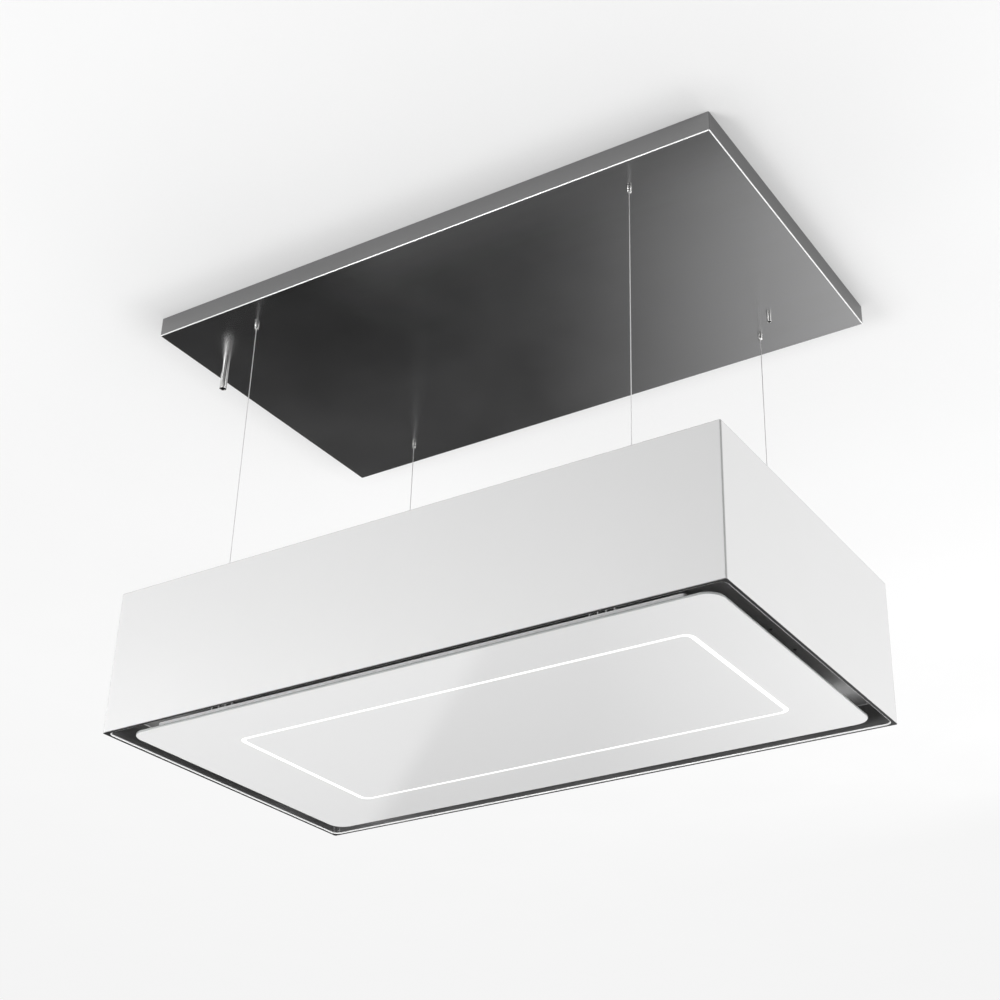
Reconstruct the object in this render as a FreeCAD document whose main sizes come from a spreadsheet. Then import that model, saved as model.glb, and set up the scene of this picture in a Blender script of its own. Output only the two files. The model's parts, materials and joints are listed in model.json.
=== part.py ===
import FreeCAD, Part
import math
import os
import Sketcher

# Island range hood that hangs from a ceiling box on four wires.
# Frame: origin at the centre of the ceiling face, +X along the hood, -Y towards the
# opening edge of the glass panel, +Z up, so the whole hood lies below Z = 0.

doc = FreeCAD.newDocument("IslandHood")
Vector = FreeCAD.Vector
Rotation = FreeCAD.Rotation

# ---------------------------------------------------------------- driving sizes

SIZES = [
    # whole object
    ("hood_length", 1200, "casing, along X"),
    ("hood_width", 650, "casing, along Y"),
    ("hood_height", 265, "liner flange to casing top"),
    ("hang_gap", 558, "casing top to ceiling cover"),
    ("wire_inset_x", 188, "wire to the hood's end"),
    ("wire_inset_y", 65, "wire to the hood's side"),
    # ceiling box, which has the hood's outline
    ("cover_height", 40, ""),
    ("cover_sheet", 1.2, ""),
    ("cover_corner", 2.5, "outer radius of the upright corners"),
    ("cover_fold", 1.8, "outer bend radius round the underside"),
    ("rail_end_gap", 40, "ceiling rail to the cover's end"),
    ("rail_web", 40, "width of the ceiling rail's channel"),
    ("rail_sheet", 2, ""),
    ("rail_flange", 25, ""),
    ("ceiling_hole", 4, "radius"),
    ("ceiling_hole_inset", 12.5, "hole to the channel's side"),
    ("outer_hole_inset", 60, "hole to the rail's end"),
    ("inner_hole_x", 200, ""),
    ("cross_rail_x", 300, ""),
    ("cross_rail_width", 30, ""),
    ("cross_rail_gap", 6, "cross rail to the ceiling and to the cover's outer face"),
    ("cross_rail_end", 3, "end plate"),
    ("frame_bolt", 2.5, "radius"),
    ("frame_bolt_head", 4.5, "radius"),
    ("frame_bolt_head_tall", 3.5, ""),
    ("frame_nut_tall", 4, ""),
    ("bolt_play", 0.2, "radius of a bolt hole less the bolt's"),
    # wires and grippers
    ("wire", 0.8, "radius"),
    ("wire_play", 0.3, "bore radius less wire radius"),
    ("wire_stop", 2, "radius of the crimped end"),
    ("wire_stop_long", 6, ""),
    ("gripper", 4.5, "radius of the collar"),
    ("gripper_collar", 4.2, ""),
    ("gripper_stem", 3, "radius, M6"),
    ("gripper_stem_long", 18, ""),
    ("gripper_nut_tall", 5, ""),
    ("thread_play", 0.05, ""),
    ("plunger", 4.2, "radius of the release plunger"),
    ("plunger_head", 4, ""),
    ("plunger_gap", 1.5, "groove between collar and plunger"),
    ("plunger_stem", 2, "radius"),
    ("plunger_stem_long", 10.2, ""),
    ("plunger_bore_deep", 12.2, ""),
    ("running", 0.08, "radial clearance of what slides or turns"),
    # sleeves and junction box
    ("supply_sleeve_inset_x", 47, "to the cover's end"),
    ("supply_sleeve_inset_y", 74, "to the line of the wires"),
    ("supply_sleeve", 7, "outer radius"),
    ("supply_sleeve_bore", 5.6, "radius"),
    ("supply_sleeve_drop", 60, ""),
    ("control_sleeve_inset_x", 145, "to the cover's end"),
    ("control_sleeve_inset_y", 50, "to the line of the wires"),
    ("control_sleeve", 4.2, "outer radius"),
    ("control_sleeve_bore", 3, "radius"),
    ("control_sleeve_drop", 13, ""),
    ("sleeve_flange", 5, "flange radius less sleeve radius"),
    ("sleeve_flange_tall", 2, ""),
    ("junction_length", 110, ""),
    ("junction_width", 80, ""),
    ("junction_floor_gap", 6, "junction box to the cover's outer face"),
    ("junction_wall", 2, ""),
    ("grommet", 11, "outer radius"),
    ("grommet_bore", 8, "radius"),
    ("grommet_tall", 4, ""),
    ("ceiling_play", 2, "junction box's grommet to the ceiling"),
    # casing and top cover
    ("casing_sheet", 1.2, ""),
    ("casing_corner", 3, "outer radius"),
    ("casing_flange", 20, "inward top flange"),
    ("top_sheet", 1.2, ""),
    ("top_play", 1, "gap round the top cover"),
    ("screw", 1.9, "radius, M4"),
    ("screw_head", 3.6, "radius"),
    ("screw_head_tall", 2, ""),
    ("screw_long", 6, ""),
    ("cover_screw_end", 80, "last screw to the hood's end"),
    # chassis
    ("chassis_width", 30, ""),
    ("chassis_height", 40, ""),
    ("chassis_sheet", 2, ""),
    ("cross_height", 29.6, ""),
    ("cross_flange", 27, ""),
    ("outer_cross_inset", 220, "outer cross member to the hood's end"),
    ("anchor_collar", 8, "radius"),
    ("anchor_collar_tall", 15, ""),
    ("anchor_shoulder", 6, "radius"),
    ("anchor_stud", 4, "radius, M8"),
    ("anchor_stud_long", 18, ""),
    ("anchor_nut", 7.5, "circumradius"),
    ("anchor_nut_tall", 6.5, ""),
    ("gland_collar", 9, "radius"),
    ("gland_collar_tall", 10, ""),
    ("gland_thread", 8, "radius"),
    ("gland_bore", 4, "radius"),
    ("gland_nut", 10.5, "radius"),
    ("gland_nut_tall", 4, ""),
    # liner
    ("liner_sheet", 1, ""),
    ("liner_rim", 7, "width of the bottom flange"),
    ("liner_depth", 45, ""),
    ("liner_corner", 13, "inner radius"),
    ("liner_fold", 1.2, "inner bend radius"),
    ("bracket_sheet", 1.5, ""),
    ("bracket_tall", 27, ""),
    ("end_bracket_half", 60, ""),
    ("side_bracket_half", 20, ""),
    ("side_bracket_x", 250, ""),
    ("rivet", 1.6, "radius"),
    ("rivet_head", 3, "radius"),
    ("rivet_head_tall", 1.2, ""),
    ("end_rivet_inset", 60, "to the hood's end"),
    ("end_rivet_y", 45, ""),
    ("side_rivet_inset", 20, "to the hood's side"),
    # grease filters
    ("filter_length", 400, ""),
    ("filter_width", 290, ""),
    ("filter_thick", 10, ""),
    ("filter_spacing", 30, "between the two filters"),
    ("filter_y", 5, "centre, towards the opening edge"),
    ("filter_play", 1, "gap round a filter"),
    ("filter_border", 14, ""),
    ("filter_recess", 1.5, ""),
    ("tab_length", 20, ""),
    ("tab_reach", 5, ""),
    ("tab_thick", 2, ""),
    ("tab_inset", 60, "tab to the filter's end"),
    ("seat", 0.3, "gap where a removable piece rests"),
    ("latch_width", 24, ""),
    ("latch_long", 17, "tongue inside the filter"),
    ("latch_travel", 6, ""),
    ("latch_tab", 3, ""),
    ("latch_drop", 8, "finger tab below the filter"),
    # glass panel
    ("panel_gap_x", 24.5, "glass to the liner's wall"),
    ("panel_gap_y", 23.5, "glass to the liner's wall"),
    ("panel_thick", 4, ""),
    ("panel_corner", 30, ""),
    ("panel_rise", 1, "glass above the liner flange"),
    ("tray_end_inset", 56.5, "tray to the glass's edge"),
    ("tray_front_inset", 9.5, "tray to the glass's edge"),
    ("tray_back_inset", 32.5, "tray to the glass's edge"),
    ("tray_sheet", 1, ""),
    ("tray_height", 10, ""),
    ("tray_corner", 6, ""),
    ("light_left_inset", 152, "light's centre line to the glass's edge"),
    ("light_right_inset", 104.5, "light's centre line to the glass's edge"),
    ("light_side_inset", 114.2, "light's centre line to the glass's edge"),
    ("light_corner", 15, ""),
    ("channel_half", 8, ""),
    ("channel_wall", 1.5, ""),
    ("channel_height", 12, ""),
    ("guide_half", 6.2, ""),
    ("guide_height", 6, ""),
    ("board_half", 5, ""),
    ("board_thick", 1.2, ""),
    ("yoke_inset", 141, "centre of a pair of yokes to the tray's end"),
    ("yoke_pitch", 29, ""),
    ("yoke_half", 8, ""),
    ("yoke_sheet", 1.5, ""),
    ("yoke_deep", 10, ""),
    ("yoke_rise", 5, "lug above the tray's wall"),
    ("magnet_play", 1, "magnet to lug"),
    ("magnet_foot", 10, "half length of the foot"),
    ("magnet_foot_thick", 2, ""),
    # panel hinge
    ("hinge_inset", 112, "to the tray's end"),
    ("hinge_offset", 18, "pin to the tray's back"),
    ("hinge_rise", 21, "pin above the liner flange"),
    ("hinge_pin", 2.5, "radius"),
    ("hinge_pin_head", 4, "radius"),
    ("hinge_pin_head_tall", 2, ""),
    ("hinge_ear", 7, "radius"),
    ("hinge_ear_sheet", 2, ""),
    ("hinge_ear_inner", 10, ""),
    ("hinge_knuckle", 5, "radius"),
    ("hinge_side_play", 0.3, ""),
    ("hinge_arm", 4, "thickness of the moving leaf's arm"),
    ("hinge_leaf", 2, ""),
    ("hinge_foot_half", 22, ""),
    ("hinge_foot_reach", 32, ""),
    ("hinge_screw_x", 16, ""),
    ("hinge_screw_y", 20, "screw to the pin's axis"),
    # blower
    ("scroll_above", 24, "scroll to the casing's top"),
    ("scroll_below", 14, "scroll to the grease filters"),
    ("scroll_step", 8, "growth in each quarter"),
    ("scroll_half", 88, "half width"),
    ("scroll_wall", 2, ""),
    ("outlet_start", 38, "inner wall of the outlet"),
    ("outlet_play", 1.0, "outlet to the top cover"),
    ("joint_rib", 4, "rib round the joint of the shells"),
    ("joint_rib_half", 3, ""),
    ("inlet_step", 12, "inlet radius below the wheel's"),
    ("inlet_collar", 2, "wall"),
    ("inlet_collar_long", 6, ""),
    ("ear_margin", 8, "ear plate beyond the scroll"),
    ("ear_drop", 42, "bottom of the ear plate below the casing top"),
    ("ear_gap", 6, "top of the ear plate below the casing top"),
    ("ear_screw_inset", 15, "front screw to the ear plate's edge"),
    ("ear_screw_back", 20, ""),
    ("ear_screw_drop", 17, ""),
    ("ear_screw_long", 10, ""),
    ("wheel_play", 8, "wheel to the scroll's outer radius at the tongue"),
    ("wheel_side_play", 10, "wheel to the scroll's side walls"),
    ("wheel_disc", 3, ""),
    ("wheel_ring", 3, ""),
    ("wheel_hub", 12, "radius"),
    ("wheel_hub_back", 8, ""),
    ("wheel_hub_front", 14, ""),
    ("blade_deep", 16, "wheel radius less the blades' inner radius"),
    ("blade_centre_step", 7, "wheel radius less that of the blades' centres"),
    ("blade_curve", 12, "radius"),
    ("blade_thick", 1, ""),
    ("shaft", 4, "radius"),
    ("shaft_front", 17, ""),
    ("shaft_back_play", 0.5, "shaft to the spider"),
    ("motor_step", 14, "motor radius below the blades' inner radius"),
    ("motor_wall", 2, ""),
    ("motor_front", 24, ""),
    ("spider_sheet", 2, ""),
    ("spider_hub_step", 4, "spider's hub below the motor's radius"),
    ("spider_arm", 14, ""),
    ("spider_margin", 5, "spider's arm beyond its screw"),
    ("spider_screw_step", 6, "screws' circle beyond the inlet"),
    ("spider_screw_long", 8, ""),
    ("bearing", 11, "outer radius"),
    ("bearing_wide", 7, ""),
    ("bearing_seat", 14, ""),
    ("stator_deep", 12, "radial thickness of the stator"),
    ("stator_gap", 12, "stator to the can's front"),
    ("stator_back_gap", 14, "stator to the spider"),
    ("rotor_play", 0.5, ""),
    ("rotor_short", 1, "rotor's end inside the stator's"),
    ("charcoal_rim", 12, "cassette's radius beyond the collar's"),
    ("charcoal_thick", 30, ""),
    ("charcoal_gap", 3, "shell to cassette"),
    ("charcoal_socket", 7, ""),
    # outlet grille
    ("grille_inset_x", 6, "opening inside the scroll's outer face"),
    ("grille_inset_y", 4, "opening inside the outlet's outer faces"),
    ("grille_border", 16, ""),
    ("grille_thick", 1.5, ""),
    ("slat_pitch", 12, ""),
    ("slat_deep", 9, ""),
    ("slat_thick", 1.2, ""),
    ("slat_tilt", 35, "degrees"),
    # electrics
    ("electrics_plate_length", 260, ""),
    ("electrics_plate_width", 200, ""),
    ("electrics_plate_sheet", 1.5, ""),
    ("control_length", 160, ""),
    ("control_width", 110, ""),
    ("control_height", 35, ""),
    ("control_wall", 2, ""),
    ("control_offset_x", 35, "control box's middle to the cross member"),
    ("control_offset_y", 15, "control box's middle to the centre plane"),
    ("control_post", 3, "radius"),
    ("control_post_tall", 6, ""),
    ("control_post_inset", 10, ""),
    ("board_play", 4, "circuit board to the box's wall"),
    ("circuit_thick", 1.6, ""),
    ("driver_length", 150, ""),
    ("driver_width", 30, ""),
    ("driver_height", 28, ""),
    ("driver_gap", 8, "supply unit to the control box"),
    ("capacitor", 15, "radius"),
    ("capacitor_long", 60, ""),
    ("capacitor_gap", 30, "capacitor to the control box"),
    ("capacitor_offset", 30, "capacitor to the centre plane"),
]


class Size:
    """A number together with the sheet formula that gives it."""

    def __init__(self, value, text):
        self.value = float(value)
        self.text = text

    def __add__(self, other):
        other = as_size(other)
        return Size(self.value + other.value, f"({self.text} + {other.text})")

    def __sub__(self, other):
        other = as_size(other)
        return Size(self.value - other.value, f"({self.text} - {other.text})")

    def __mul__(self, other):
        other = as_size(other)
        return Size(self.value * other.value, f"({self.text} * {other.text})")

    def __truediv__(self, other):
        other = as_size(other)
        return Size(self.value / other.value, f"({self.text} / {other.text})")

    def __neg__(self):
        return Size(-self.value, f"(0 - {self.text})")

    def __radd__(self, other):
        return as_size(other) + self

    def __rsub__(self, other):
        return as_size(other) - self

    def __rmul__(self, other):
        return as_size(other) * self


def as_size(number):
    """A plain number as a Size, so that both can be mixed in a formula."""
    if isinstance(number, Size):
        return number
    return Size(number, f"({number})" if number < 0 else str(number))


class Dimensions:
    """The sheet's cells by name: d.hood_length and so on."""


sheet = doc.addObject("Spreadsheet::Sheet", "Sizes")
d = Dimensions()
for row, (alias, number, note) in enumerate(SIZES, start=1):
    sheet.set(f"A{row}", alias)
    sheet.set(f"B{row}", str(number))
    sheet.set(f"C{row}", note)
    sheet.setAlias(f"B{row}", alias)
    setattr(d, alias, Size(number, f"Sizes.{alias}"))
doc.recompute()

# ---------------------------------------------------------------- derived places

hood_half_x = d.hood_length / 2
hood_half_y = d.hood_width / 2
wire_x = hood_half_x - d.wire_inset_x
wire_y = hood_half_y - d.wire_inset_y
cover_floor = -d.cover_height
cover_inside = cover_floor + d.cover_sheet
hood_top = cover_floor - d.hang_gap
hood_bottom = hood_top - d.hood_height
casing_inside_x = hood_half_x - d.casing_sheet
casing_inside_y = hood_half_y - d.casing_sheet
top_underside = hood_top - d.top_sheet
flange_underside = top_underside - d.casing_sheet
liner_ceiling = hood_bottom + d.liner_depth
liner_top = liner_ceiling + d.liner_sheet
liner_half_x = hood_half_x - d.liner_rim
liner_half_y = hood_half_y - d.liner_rim
filter_top = liner_ceiling + d.filter_thick
glass_half_x = liner_half_x - d.panel_gap_x
glass_half_y = liner_half_y - d.panel_gap_y
glass_bottom = hood_bottom + d.panel_rise
glass_top = glass_bottom + d.panel_thick
tray_half_x = glass_half_x - d.tray_end_inset
tray_front = glass_half_y - d.tray_front_inset
tray_back = glass_half_y - d.tray_back_inset
tray_top = glass_top + d.tray_height
hinge_x = tray_half_x - d.hinge_inset
hinge_y = tray_back + d.hinge_offset
hinge_z = hood_bottom + d.hinge_rise
scroll_room = hood_top - d.scroll_above - filter_top - d.scroll_below
scroll_first = (scroll_room - d.scroll_step) / 2
scroll_last = scroll_first + d.scroll_step * 2
blower_z = hood_top - d.scroll_above - scroll_first
outlet_back = d.scroll_step + scroll_last
wheel = scroll_first - d.wheel_play
wheel_half = d.scroll_half - d.scroll_wall - d.wheel_side_play
inlet = wheel - d.inlet_step
blade_inner = wheel - d.blade_deep
motor = blade_inner - d.motor_step
spider_face = -(d.scroll_half - d.scroll_wall)
motor_back = spider_face + d.spider_sheet
stator_x = (motor_back + d.stator_back_gap, -d.motor_front - d.stator_gap)
stator_inner = motor - d.motor_wall - d.stator_deep
outer_cross_x = hood_half_x - d.outer_cross_inset
wire_bore = d.wire + d.wire_play
CORNERS = [(-1, -1), (1, -1), (1, 1), (-1, 1)]

# ---------------------------------------------------------------- small helpers


def bind(item, path, value):
    """Ties one property of an object to a formula of the sheet's sizes."""
    item.setExpression(path, as_size(value).text)


def place(item, x=0, y=0, z=0):
    for axis, value in (("x", x), ("y", y), ("z", z)):
        bind(item, f"Placement.Base.{axis}", value)
    return item


def block(name, x, y, z):
    """A box between three pairs of limits."""
    box = doc.addObject("Part::Box", name)
    for side, (low, high) in (("Length", x), ("Width", y), ("Height", z)):
        bind(box, side, as_size(high) - low)
    return place(box, x[0], y[0], z[0])


TURN = {
    "x": Rotation(Vector(1, 1, 1), 120),
    "y": Rotation(Vector(1, 0, 0), -90),
    "z": Rotation(),
}


def rod(name, radius, low, high, centre, axis="z", start=0, sweep=360):
    """A cylinder, or a sector of one, along an axis from low to high; centre gives the
    other two coordinates in X, Y, Z order."""
    cylinder = doc.addObject("Part::Cylinder", name)
    cylinder.Angle = sweep
    spin = TURN[axis] * Rotation(Vector(0, 0, 1), start)
    cylinder.Placement = FreeCAD.Placement(Vector(0, 0, 0), spin)
    bind(cylinder, "Radius", radius)
    bind(cylinder, "Height", as_size(high) - low)
    first, second = centre
    spot = {"x": (low, first, second), "y": (first, low, second), "z": (first, second, low)}
    return place(cylinder, *spot[axis])


def nut(name, radius, low, high, centre):
    """A six-sided prism along Z."""
    prism = doc.addObject("Part::Prism", name)
    prism.Polygon = 6
    bind(prism, "Circumradius", radius)
    bind(prism, "Height", as_size(high) - low)
    return place(prism, centre[0], centre[1], low)


def fuse(name, shapes):
    result = doc.addObject("Part::MultiFuse", name)
    result.Shapes = shapes
    result.Refine = True
    return result


def cut(name, base, tools):
    result = doc.addObject("Part::Cut", name)
    result.Base = base
    result.Tool = tools[0] if len(tools) == 1 else fuse(f"{name}_tools", tools)
    return result


def group(name, shapes):
    """Identical pieces that share one node, each a solid of its own."""
    result = doc.addObject("Part::Compound", name)
    result.Links = shapes
    return result


def new_body(name):
    return doc.addObject("PartDesign::Body", name)


def sketch_on(body, name, role="XY_Plane", x=0, y=0, level=0):
    """A sketch on one of the body's own origin planes, moved along that plane's axes."""
    sketch = body.newObject("Sketcher::SketchObject", name)
    plane = next(f for f in body.Origin.OriginFeatures if f.Role == role)
    sketch.AttachmentSupport = [(plane, "")]
    sketch.MapMode = "FlatFace"
    for axis, value in (("x", x), ("y", y), ("z", level)):
        bind(sketch, f"AttachmentOffset.Base.{axis}", value)
    return sketch


def dimension(sketch, kind, value, *where):
    """A constraint whose value follows the sheet."""
    index = sketch.addConstraint(Sketcher.Constraint(kind, *where, value.value))
    sketch.setExpression(f"Constraints[{index}]", value.text)


def offset_from_origin(sketch, kind, value, geometry, point):
    """Ties a point to the sketch's origin along one axis, on either side of it."""
    value = as_size(value)
    if value.value == 0:
        axis = -2 if kind == "DistanceX" else -1
        sketch.addConstraint(Sketcher.Constraint("PointOnObject", geometry, point, axis))
    elif value.value > 0:
        dimension(sketch, kind, value, -1, 1, geometry, point)
    else:
        dimension(sketch, kind, -value, geometry, point, -1, 1)


def draw_rectangle(sketch, x, y, radius=None):
    """A rectangle between two pairs of limits, with rounded corners if a radius is given."""
    x0, x1 = (as_size(v).value for v in x)
    y0, y1 = (as_size(v).value for v in y)
    r = radius.value if radius else 0
    ends = [
        ((x0 + r, y0), (x1 - r, y0)),
        ((x1, y0 + r), (x1, y1 - r)),
        ((x1 - r, y1), (x0 + r, y1)),
        ((x0, y1 - r), (x0, y0 + r)),
    ]
    lines = []
    for start, end in ends:
        segment = Part.LineSegment(Vector(*start, 0), Vector(*end, 0))
        lines.append(sketch.addGeometry(segment, False))
    if radius:
        centres = [(x1 - r, y0 + r), (x1 - r, y1 - r), (x0 + r, y1 - r), (x0 + r, y0 + r)]
        arcs = []
        for quarter, centre in enumerate(centres):
            circle = Part.Circle(Vector(*centre, 0), Vector(0, 0, 1), r)
            start = (quarter - 1) * math.pi / 2
            arc = Part.ArcOfCircle(circle, start, start + math.pi / 2)
            arcs.append(sketch.addGeometry(arc, False))
        for i, arc in enumerate(arcs):
            after = lines[(i + 1) % 4]
            sketch.addConstraint(Sketcher.Constraint("Tangent", lines[i], 2, arc, 1))
            sketch.addConstraint(Sketcher.Constraint("Tangent", arc, 2, after, 1))
        for arc in arcs[1:]:
            sketch.addConstraint(Sketcher.Constraint("Equal", arcs[0], arc))
        dimension(sketch, "Radius", radius, arcs[0])
    else:
        for i, line in enumerate(lines):
            after = lines[(i + 1) % 4]
            sketch.addConstraint(Sketcher.Constraint("Coincident", line, 2, after, 1))
    for i, kind in enumerate(("Horizontal", "Vertical", "Horizontal", "Vertical")):
        sketch.addConstraint(Sketcher.Constraint(kind, lines[i]))
    offset_from_origin(sketch, "DistanceX", x[0], lines[3], 1)
    offset_from_origin(sketch, "DistanceX", x[1], lines[1], 1)
    offset_from_origin(sketch, "DistanceY", y[0], lines[0], 1)
    offset_from_origin(sketch, "DistanceY", y[1], lines[2], 1)


def draw_circle(sketch, radius, x=0, y=0):
    centre = Vector(as_size(x).value, as_size(y).value, 0)
    ring = sketch.addGeometry(Part.Circle(centre, Vector(0, 0, 1), radius.value), False)
    dimension(sketch, "Radius", radius, ring)
    offset_from_origin(sketch, "DistanceX", x, ring, 3)
    offset_from_origin(sketch, "DistanceY", y, ring, 3)


def pad(body, name, sketch, length):
    """Adds material from the sketch upwards along its normal."""
    feature = body.newObject("PartDesign::Pad", name)
    feature.Profile = sketch
    bind(feature, "Length", length)
    sketch.Visibility = False
    body.Tip = feature
    return feature


def pocket(body, name, sketch, depth):
    """Takes material away from the sketch upwards along its normal."""
    feature = body.newObject("PartDesign::Pocket", name)
    feature.Profile = sketch
    feature.Reversed = True
    bind(feature, "Length", depth)
    sketch.Visibility = False
    body.Tip = feature
    return feature


def limits(half):
    return (-half, half)


# ---------------------------------------------------------------- ceiling box


def round_outline(body, name, level, half_x, half_y, radius):
    """Rounds the level edges of a sheet part that run along one rectangular outline."""
    doc.recompute()
    base = body.Tip
    level, half_x, half_y = level.value, half_x.value, half_y.value
    names = []
    for number, edge in enumerate(base.Shape.Edges, start=1):
        box = edge.BoundBox
        flat = abs(box.ZMin - level) < 1e-3 and abs(box.ZMax - level) < 1e-3
        within = box.XMax < half_x + 1e-3 and box.YMax < half_y + 1e-3
        within = within and box.XMin > -half_x - 1e-3 and box.YMin > -half_y - 1e-3
        on_x = max(box.XMax, -box.XMin) > half_x - 1e-3
        on_y = max(box.YMax, -box.YMin) > half_y - 1e-3
        if flat and within and (on_x or on_y):
            names.append(f"Edge{number}")
    fold = body.newObject("PartDesign::Fillet", name)
    fold.Base = (base, names)
    bind(fold, "Radius", radius)
    body.Tip = fold
    doc.recompute()


def ceiling_cover():
    """Brushed steel tray that hides the ceiling frame, open towards the ceiling."""
    body = new_body("ceiling_cover")
    outline = sketch_on(body, "cover_outline", level=cover_floor)
    draw_rectangle(outline, limits(hood_half_x), limits(hood_half_y), d.cover_corner)
    pad(body, "cover_block", outline, d.cover_height)
    hollow = sketch_on(body, "cover_hollow_outline", level=cover_inside)
    wall = d.cover_sheet
    draw_rectangle(hollow, limits(hood_half_x - wall), limits(hood_half_y - wall))
    pocket(body, "cover_hollow", hollow, d.cover_height)
    holes = sketch_on(body, "cover_hole_outlines", level=cover_floor)
    for side_x, side_y in CORNERS:
        bore = d.gripper_stem + d.bolt_play
        draw_circle(holes, bore, side_x * wire_x, side_y * wire_y)
    for radius, spot in zip((d.supply_sleeve, d.control_sleeve), lead_spots()):
        draw_circle(holes, radius, *spot)
    pocket(body, "cover_holes", holes, d.cover_sheet)
    round_outline(body, "cover_fold_edge", cover_floor, hood_half_x, hood_half_y, d.cover_fold)
    return body


def ceiling_rail(side):
    """Hat-shaped rail: its flanges meet the ceiling and its web carries two wires."""
    name = "ceiling_rail_near" if side < 0 else "ceiling_rail_far"
    middle = side * wire_y
    half = d.rail_web / 2
    ends = limits(hood_half_x - d.rail_end_gap)
    web_top = cover_inside + d.rail_sheet
    flange_bottom = -d.rail_sheet
    pieces = [block(f"{name}_web", ends, (middle - half, middle + half), (cover_inside, web_top))]
    for edge in (-1, 1):
        outer = middle + edge * half
        inner = outer - edge * d.rail_sheet
        tip = outer + edge * d.rail_flange
        wall_y = (inner, outer) if edge > 0 else (outer, inner)
        flange_y = (inner, tip) if edge > 0 else (tip, inner)
        pieces.append(block(f"{name}_wall{edge}", ends, wall_y, (cover_inside, 0)))
        pieces.append(block(f"{name}_flange{edge}", ends, flange_y, (flange_bottom, 0)))
    holes = []
    for end in (-1, 1):
        spot = (end * wire_x, middle)
        bore = d.gripper_stem + d.bolt_play
        holes.append(rod(f"{name}_wire_hole{end}", bore, cover_inside, web_top, spot))
        away = half + d.ceiling_hole_inset
        for label, along, shift in (
            ("outer", ends[1] - d.outer_hole_inset, side * away),
            ("inner", d.inner_hole_x, -side * away),
        ):
            spot = (end * along, middle + shift)
            holes.append(rod(f"{name}_{label}{end}", d.ceiling_hole, flange_bottom, 0, spot))
        for lean in (-1, 1):
            along = end * d.cross_rail_x + lean * d.cross_rail_width / 4
            spot = (along, cross_rail_middle())
            wall_y = sorted_pair(side * (wire_y - half), side * d.rail_sheet)
            bore = d.frame_bolt + d.bolt_play
            holes.append(rod(f"{name}_bolt{end}{lean}", bore, *wall_y, spot, "y"))
    return cut(name, fuse(f"{name}_sheet", pieces), holes)


def sorted_pair(start, step):
    """The two limits start and start + step, lower one first."""
    end = start + step
    return (start, end) if step.value > 0 else (end, start)


def cross_rail_middle():
    return cover_floor / 2


def ceiling_cross_rails():
    """Two channels that tie the ceiling rails together."""
    rails = []
    middle = cross_rail_middle()
    low = cover_floor + d.cross_rail_gap
    high = -d.cross_rail_gap
    end_y = wire_y - d.rail_web / 2
    for end in (-1, 1):
        x0 = end * d.cross_rail_x - d.cross_rail_width / 2
        x1 = end * d.cross_rail_x + d.cross_rail_width / 2
        outer = block(f"cross_rail_outer{end}", (x0, x1), limits(end_y), (low, high))
        wall = d.rail_sheet
        inner_y = limits(end_y - d.cross_rail_end)
        inner = block(f"cross_rail_inner{end}", (x0 + wall, x1 - wall), inner_y, (low + wall, high))
        holes = [inner]
        for side in (-1, 1):
            for lean in (-1, 1):
                spot = (end * d.cross_rail_x + lean * d.cross_rail_width / 4, middle)
                plate = sorted_pair(side * end_y, -side * d.cross_rail_end)
                bore = d.frame_bolt + d.bolt_play
                holes.append(rod(f"cross_rail_hole{end}{side}{lean}", bore, *plate, spot, "y"))
        rails.append(cut(f"cross_rail{end}", outer, holes))
    return group("ceiling_cross_rails", rails)


def ceiling_frame_bolts():
    """Bolts through the ceiling rails' inner walls and the cross rails' end plates."""
    bolts = []
    middle = cross_rail_middle()
    face = wire_y - d.rail_web / 2
    for end in (-1, 1):
        for side in (-1, 1):
            for lean in (-1, 1):
                tag = f"{end}{side}{lean}"
                spot = (end * d.cross_rail_x + lean * d.cross_rail_width / 4, middle)
                under_head = face + d.rail_sheet
                nut_face = face - d.cross_rail_end
                tail = nut_face - d.frame_nut_tall
                head_y = sorted_pair(side * under_head, side * d.frame_bolt_head_tall)
                shank_y = sorted_pair(side * tail, side * (under_head - tail))
                nut_y = sorted_pair(side * tail, side * d.frame_nut_tall)
                bolts.append(
                    fuse(
                        f"frame_bolt{tag}",
                        [
                            rod(f"frame_bolt_head{tag}", d.frame_bolt_head, *head_y, spot, "y"),
                            rod(f"frame_bolt_shank{tag}", d.frame_bolt, *shank_y, spot, "y"),
                            rod(f"frame_bolt_nut{tag}", d.frame_bolt_head, *nut_y, spot, "y"),
                        ],
                    )
                )
    return group("ceiling_frame_bolts", bolts)


def wire_grippers():
    """Self-locking grippers: a collar under the cover and a threaded stem through the rail."""
    grippers = []
    collar_bottom = cover_floor - d.gripper_collar
    stem_top = cover_floor + d.gripper_stem_long
    for number, (side_x, side_y) in enumerate(CORNERS, start=1):
        spot = (side_x * wire_x, side_y * wire_y)
        collar = rod(f"gripper_collar{number}", d.gripper, collar_bottom, cover_floor, spot)
        stem = rod(f"gripper_stem{number}", d.gripper_stem, cover_floor, stem_top, spot)
        seat_top = collar_bottom + d.plunger_bore_deep
        seat = d.plunger_stem + d.running
        wide = rod(f"gripper_seat{number}", seat, collar_bottom, seat_top, spot)
        narrow = rod(f"gripper_bore{number}", wire_bore, collar_bottom, stem_top, spot)
        solid = fuse(f"gripper_solid{number}", [collar, stem])
        grippers.append(cut(f"gripper{number}", solid, [wide, narrow]))
    return group("wire_grippers", grippers)


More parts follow.
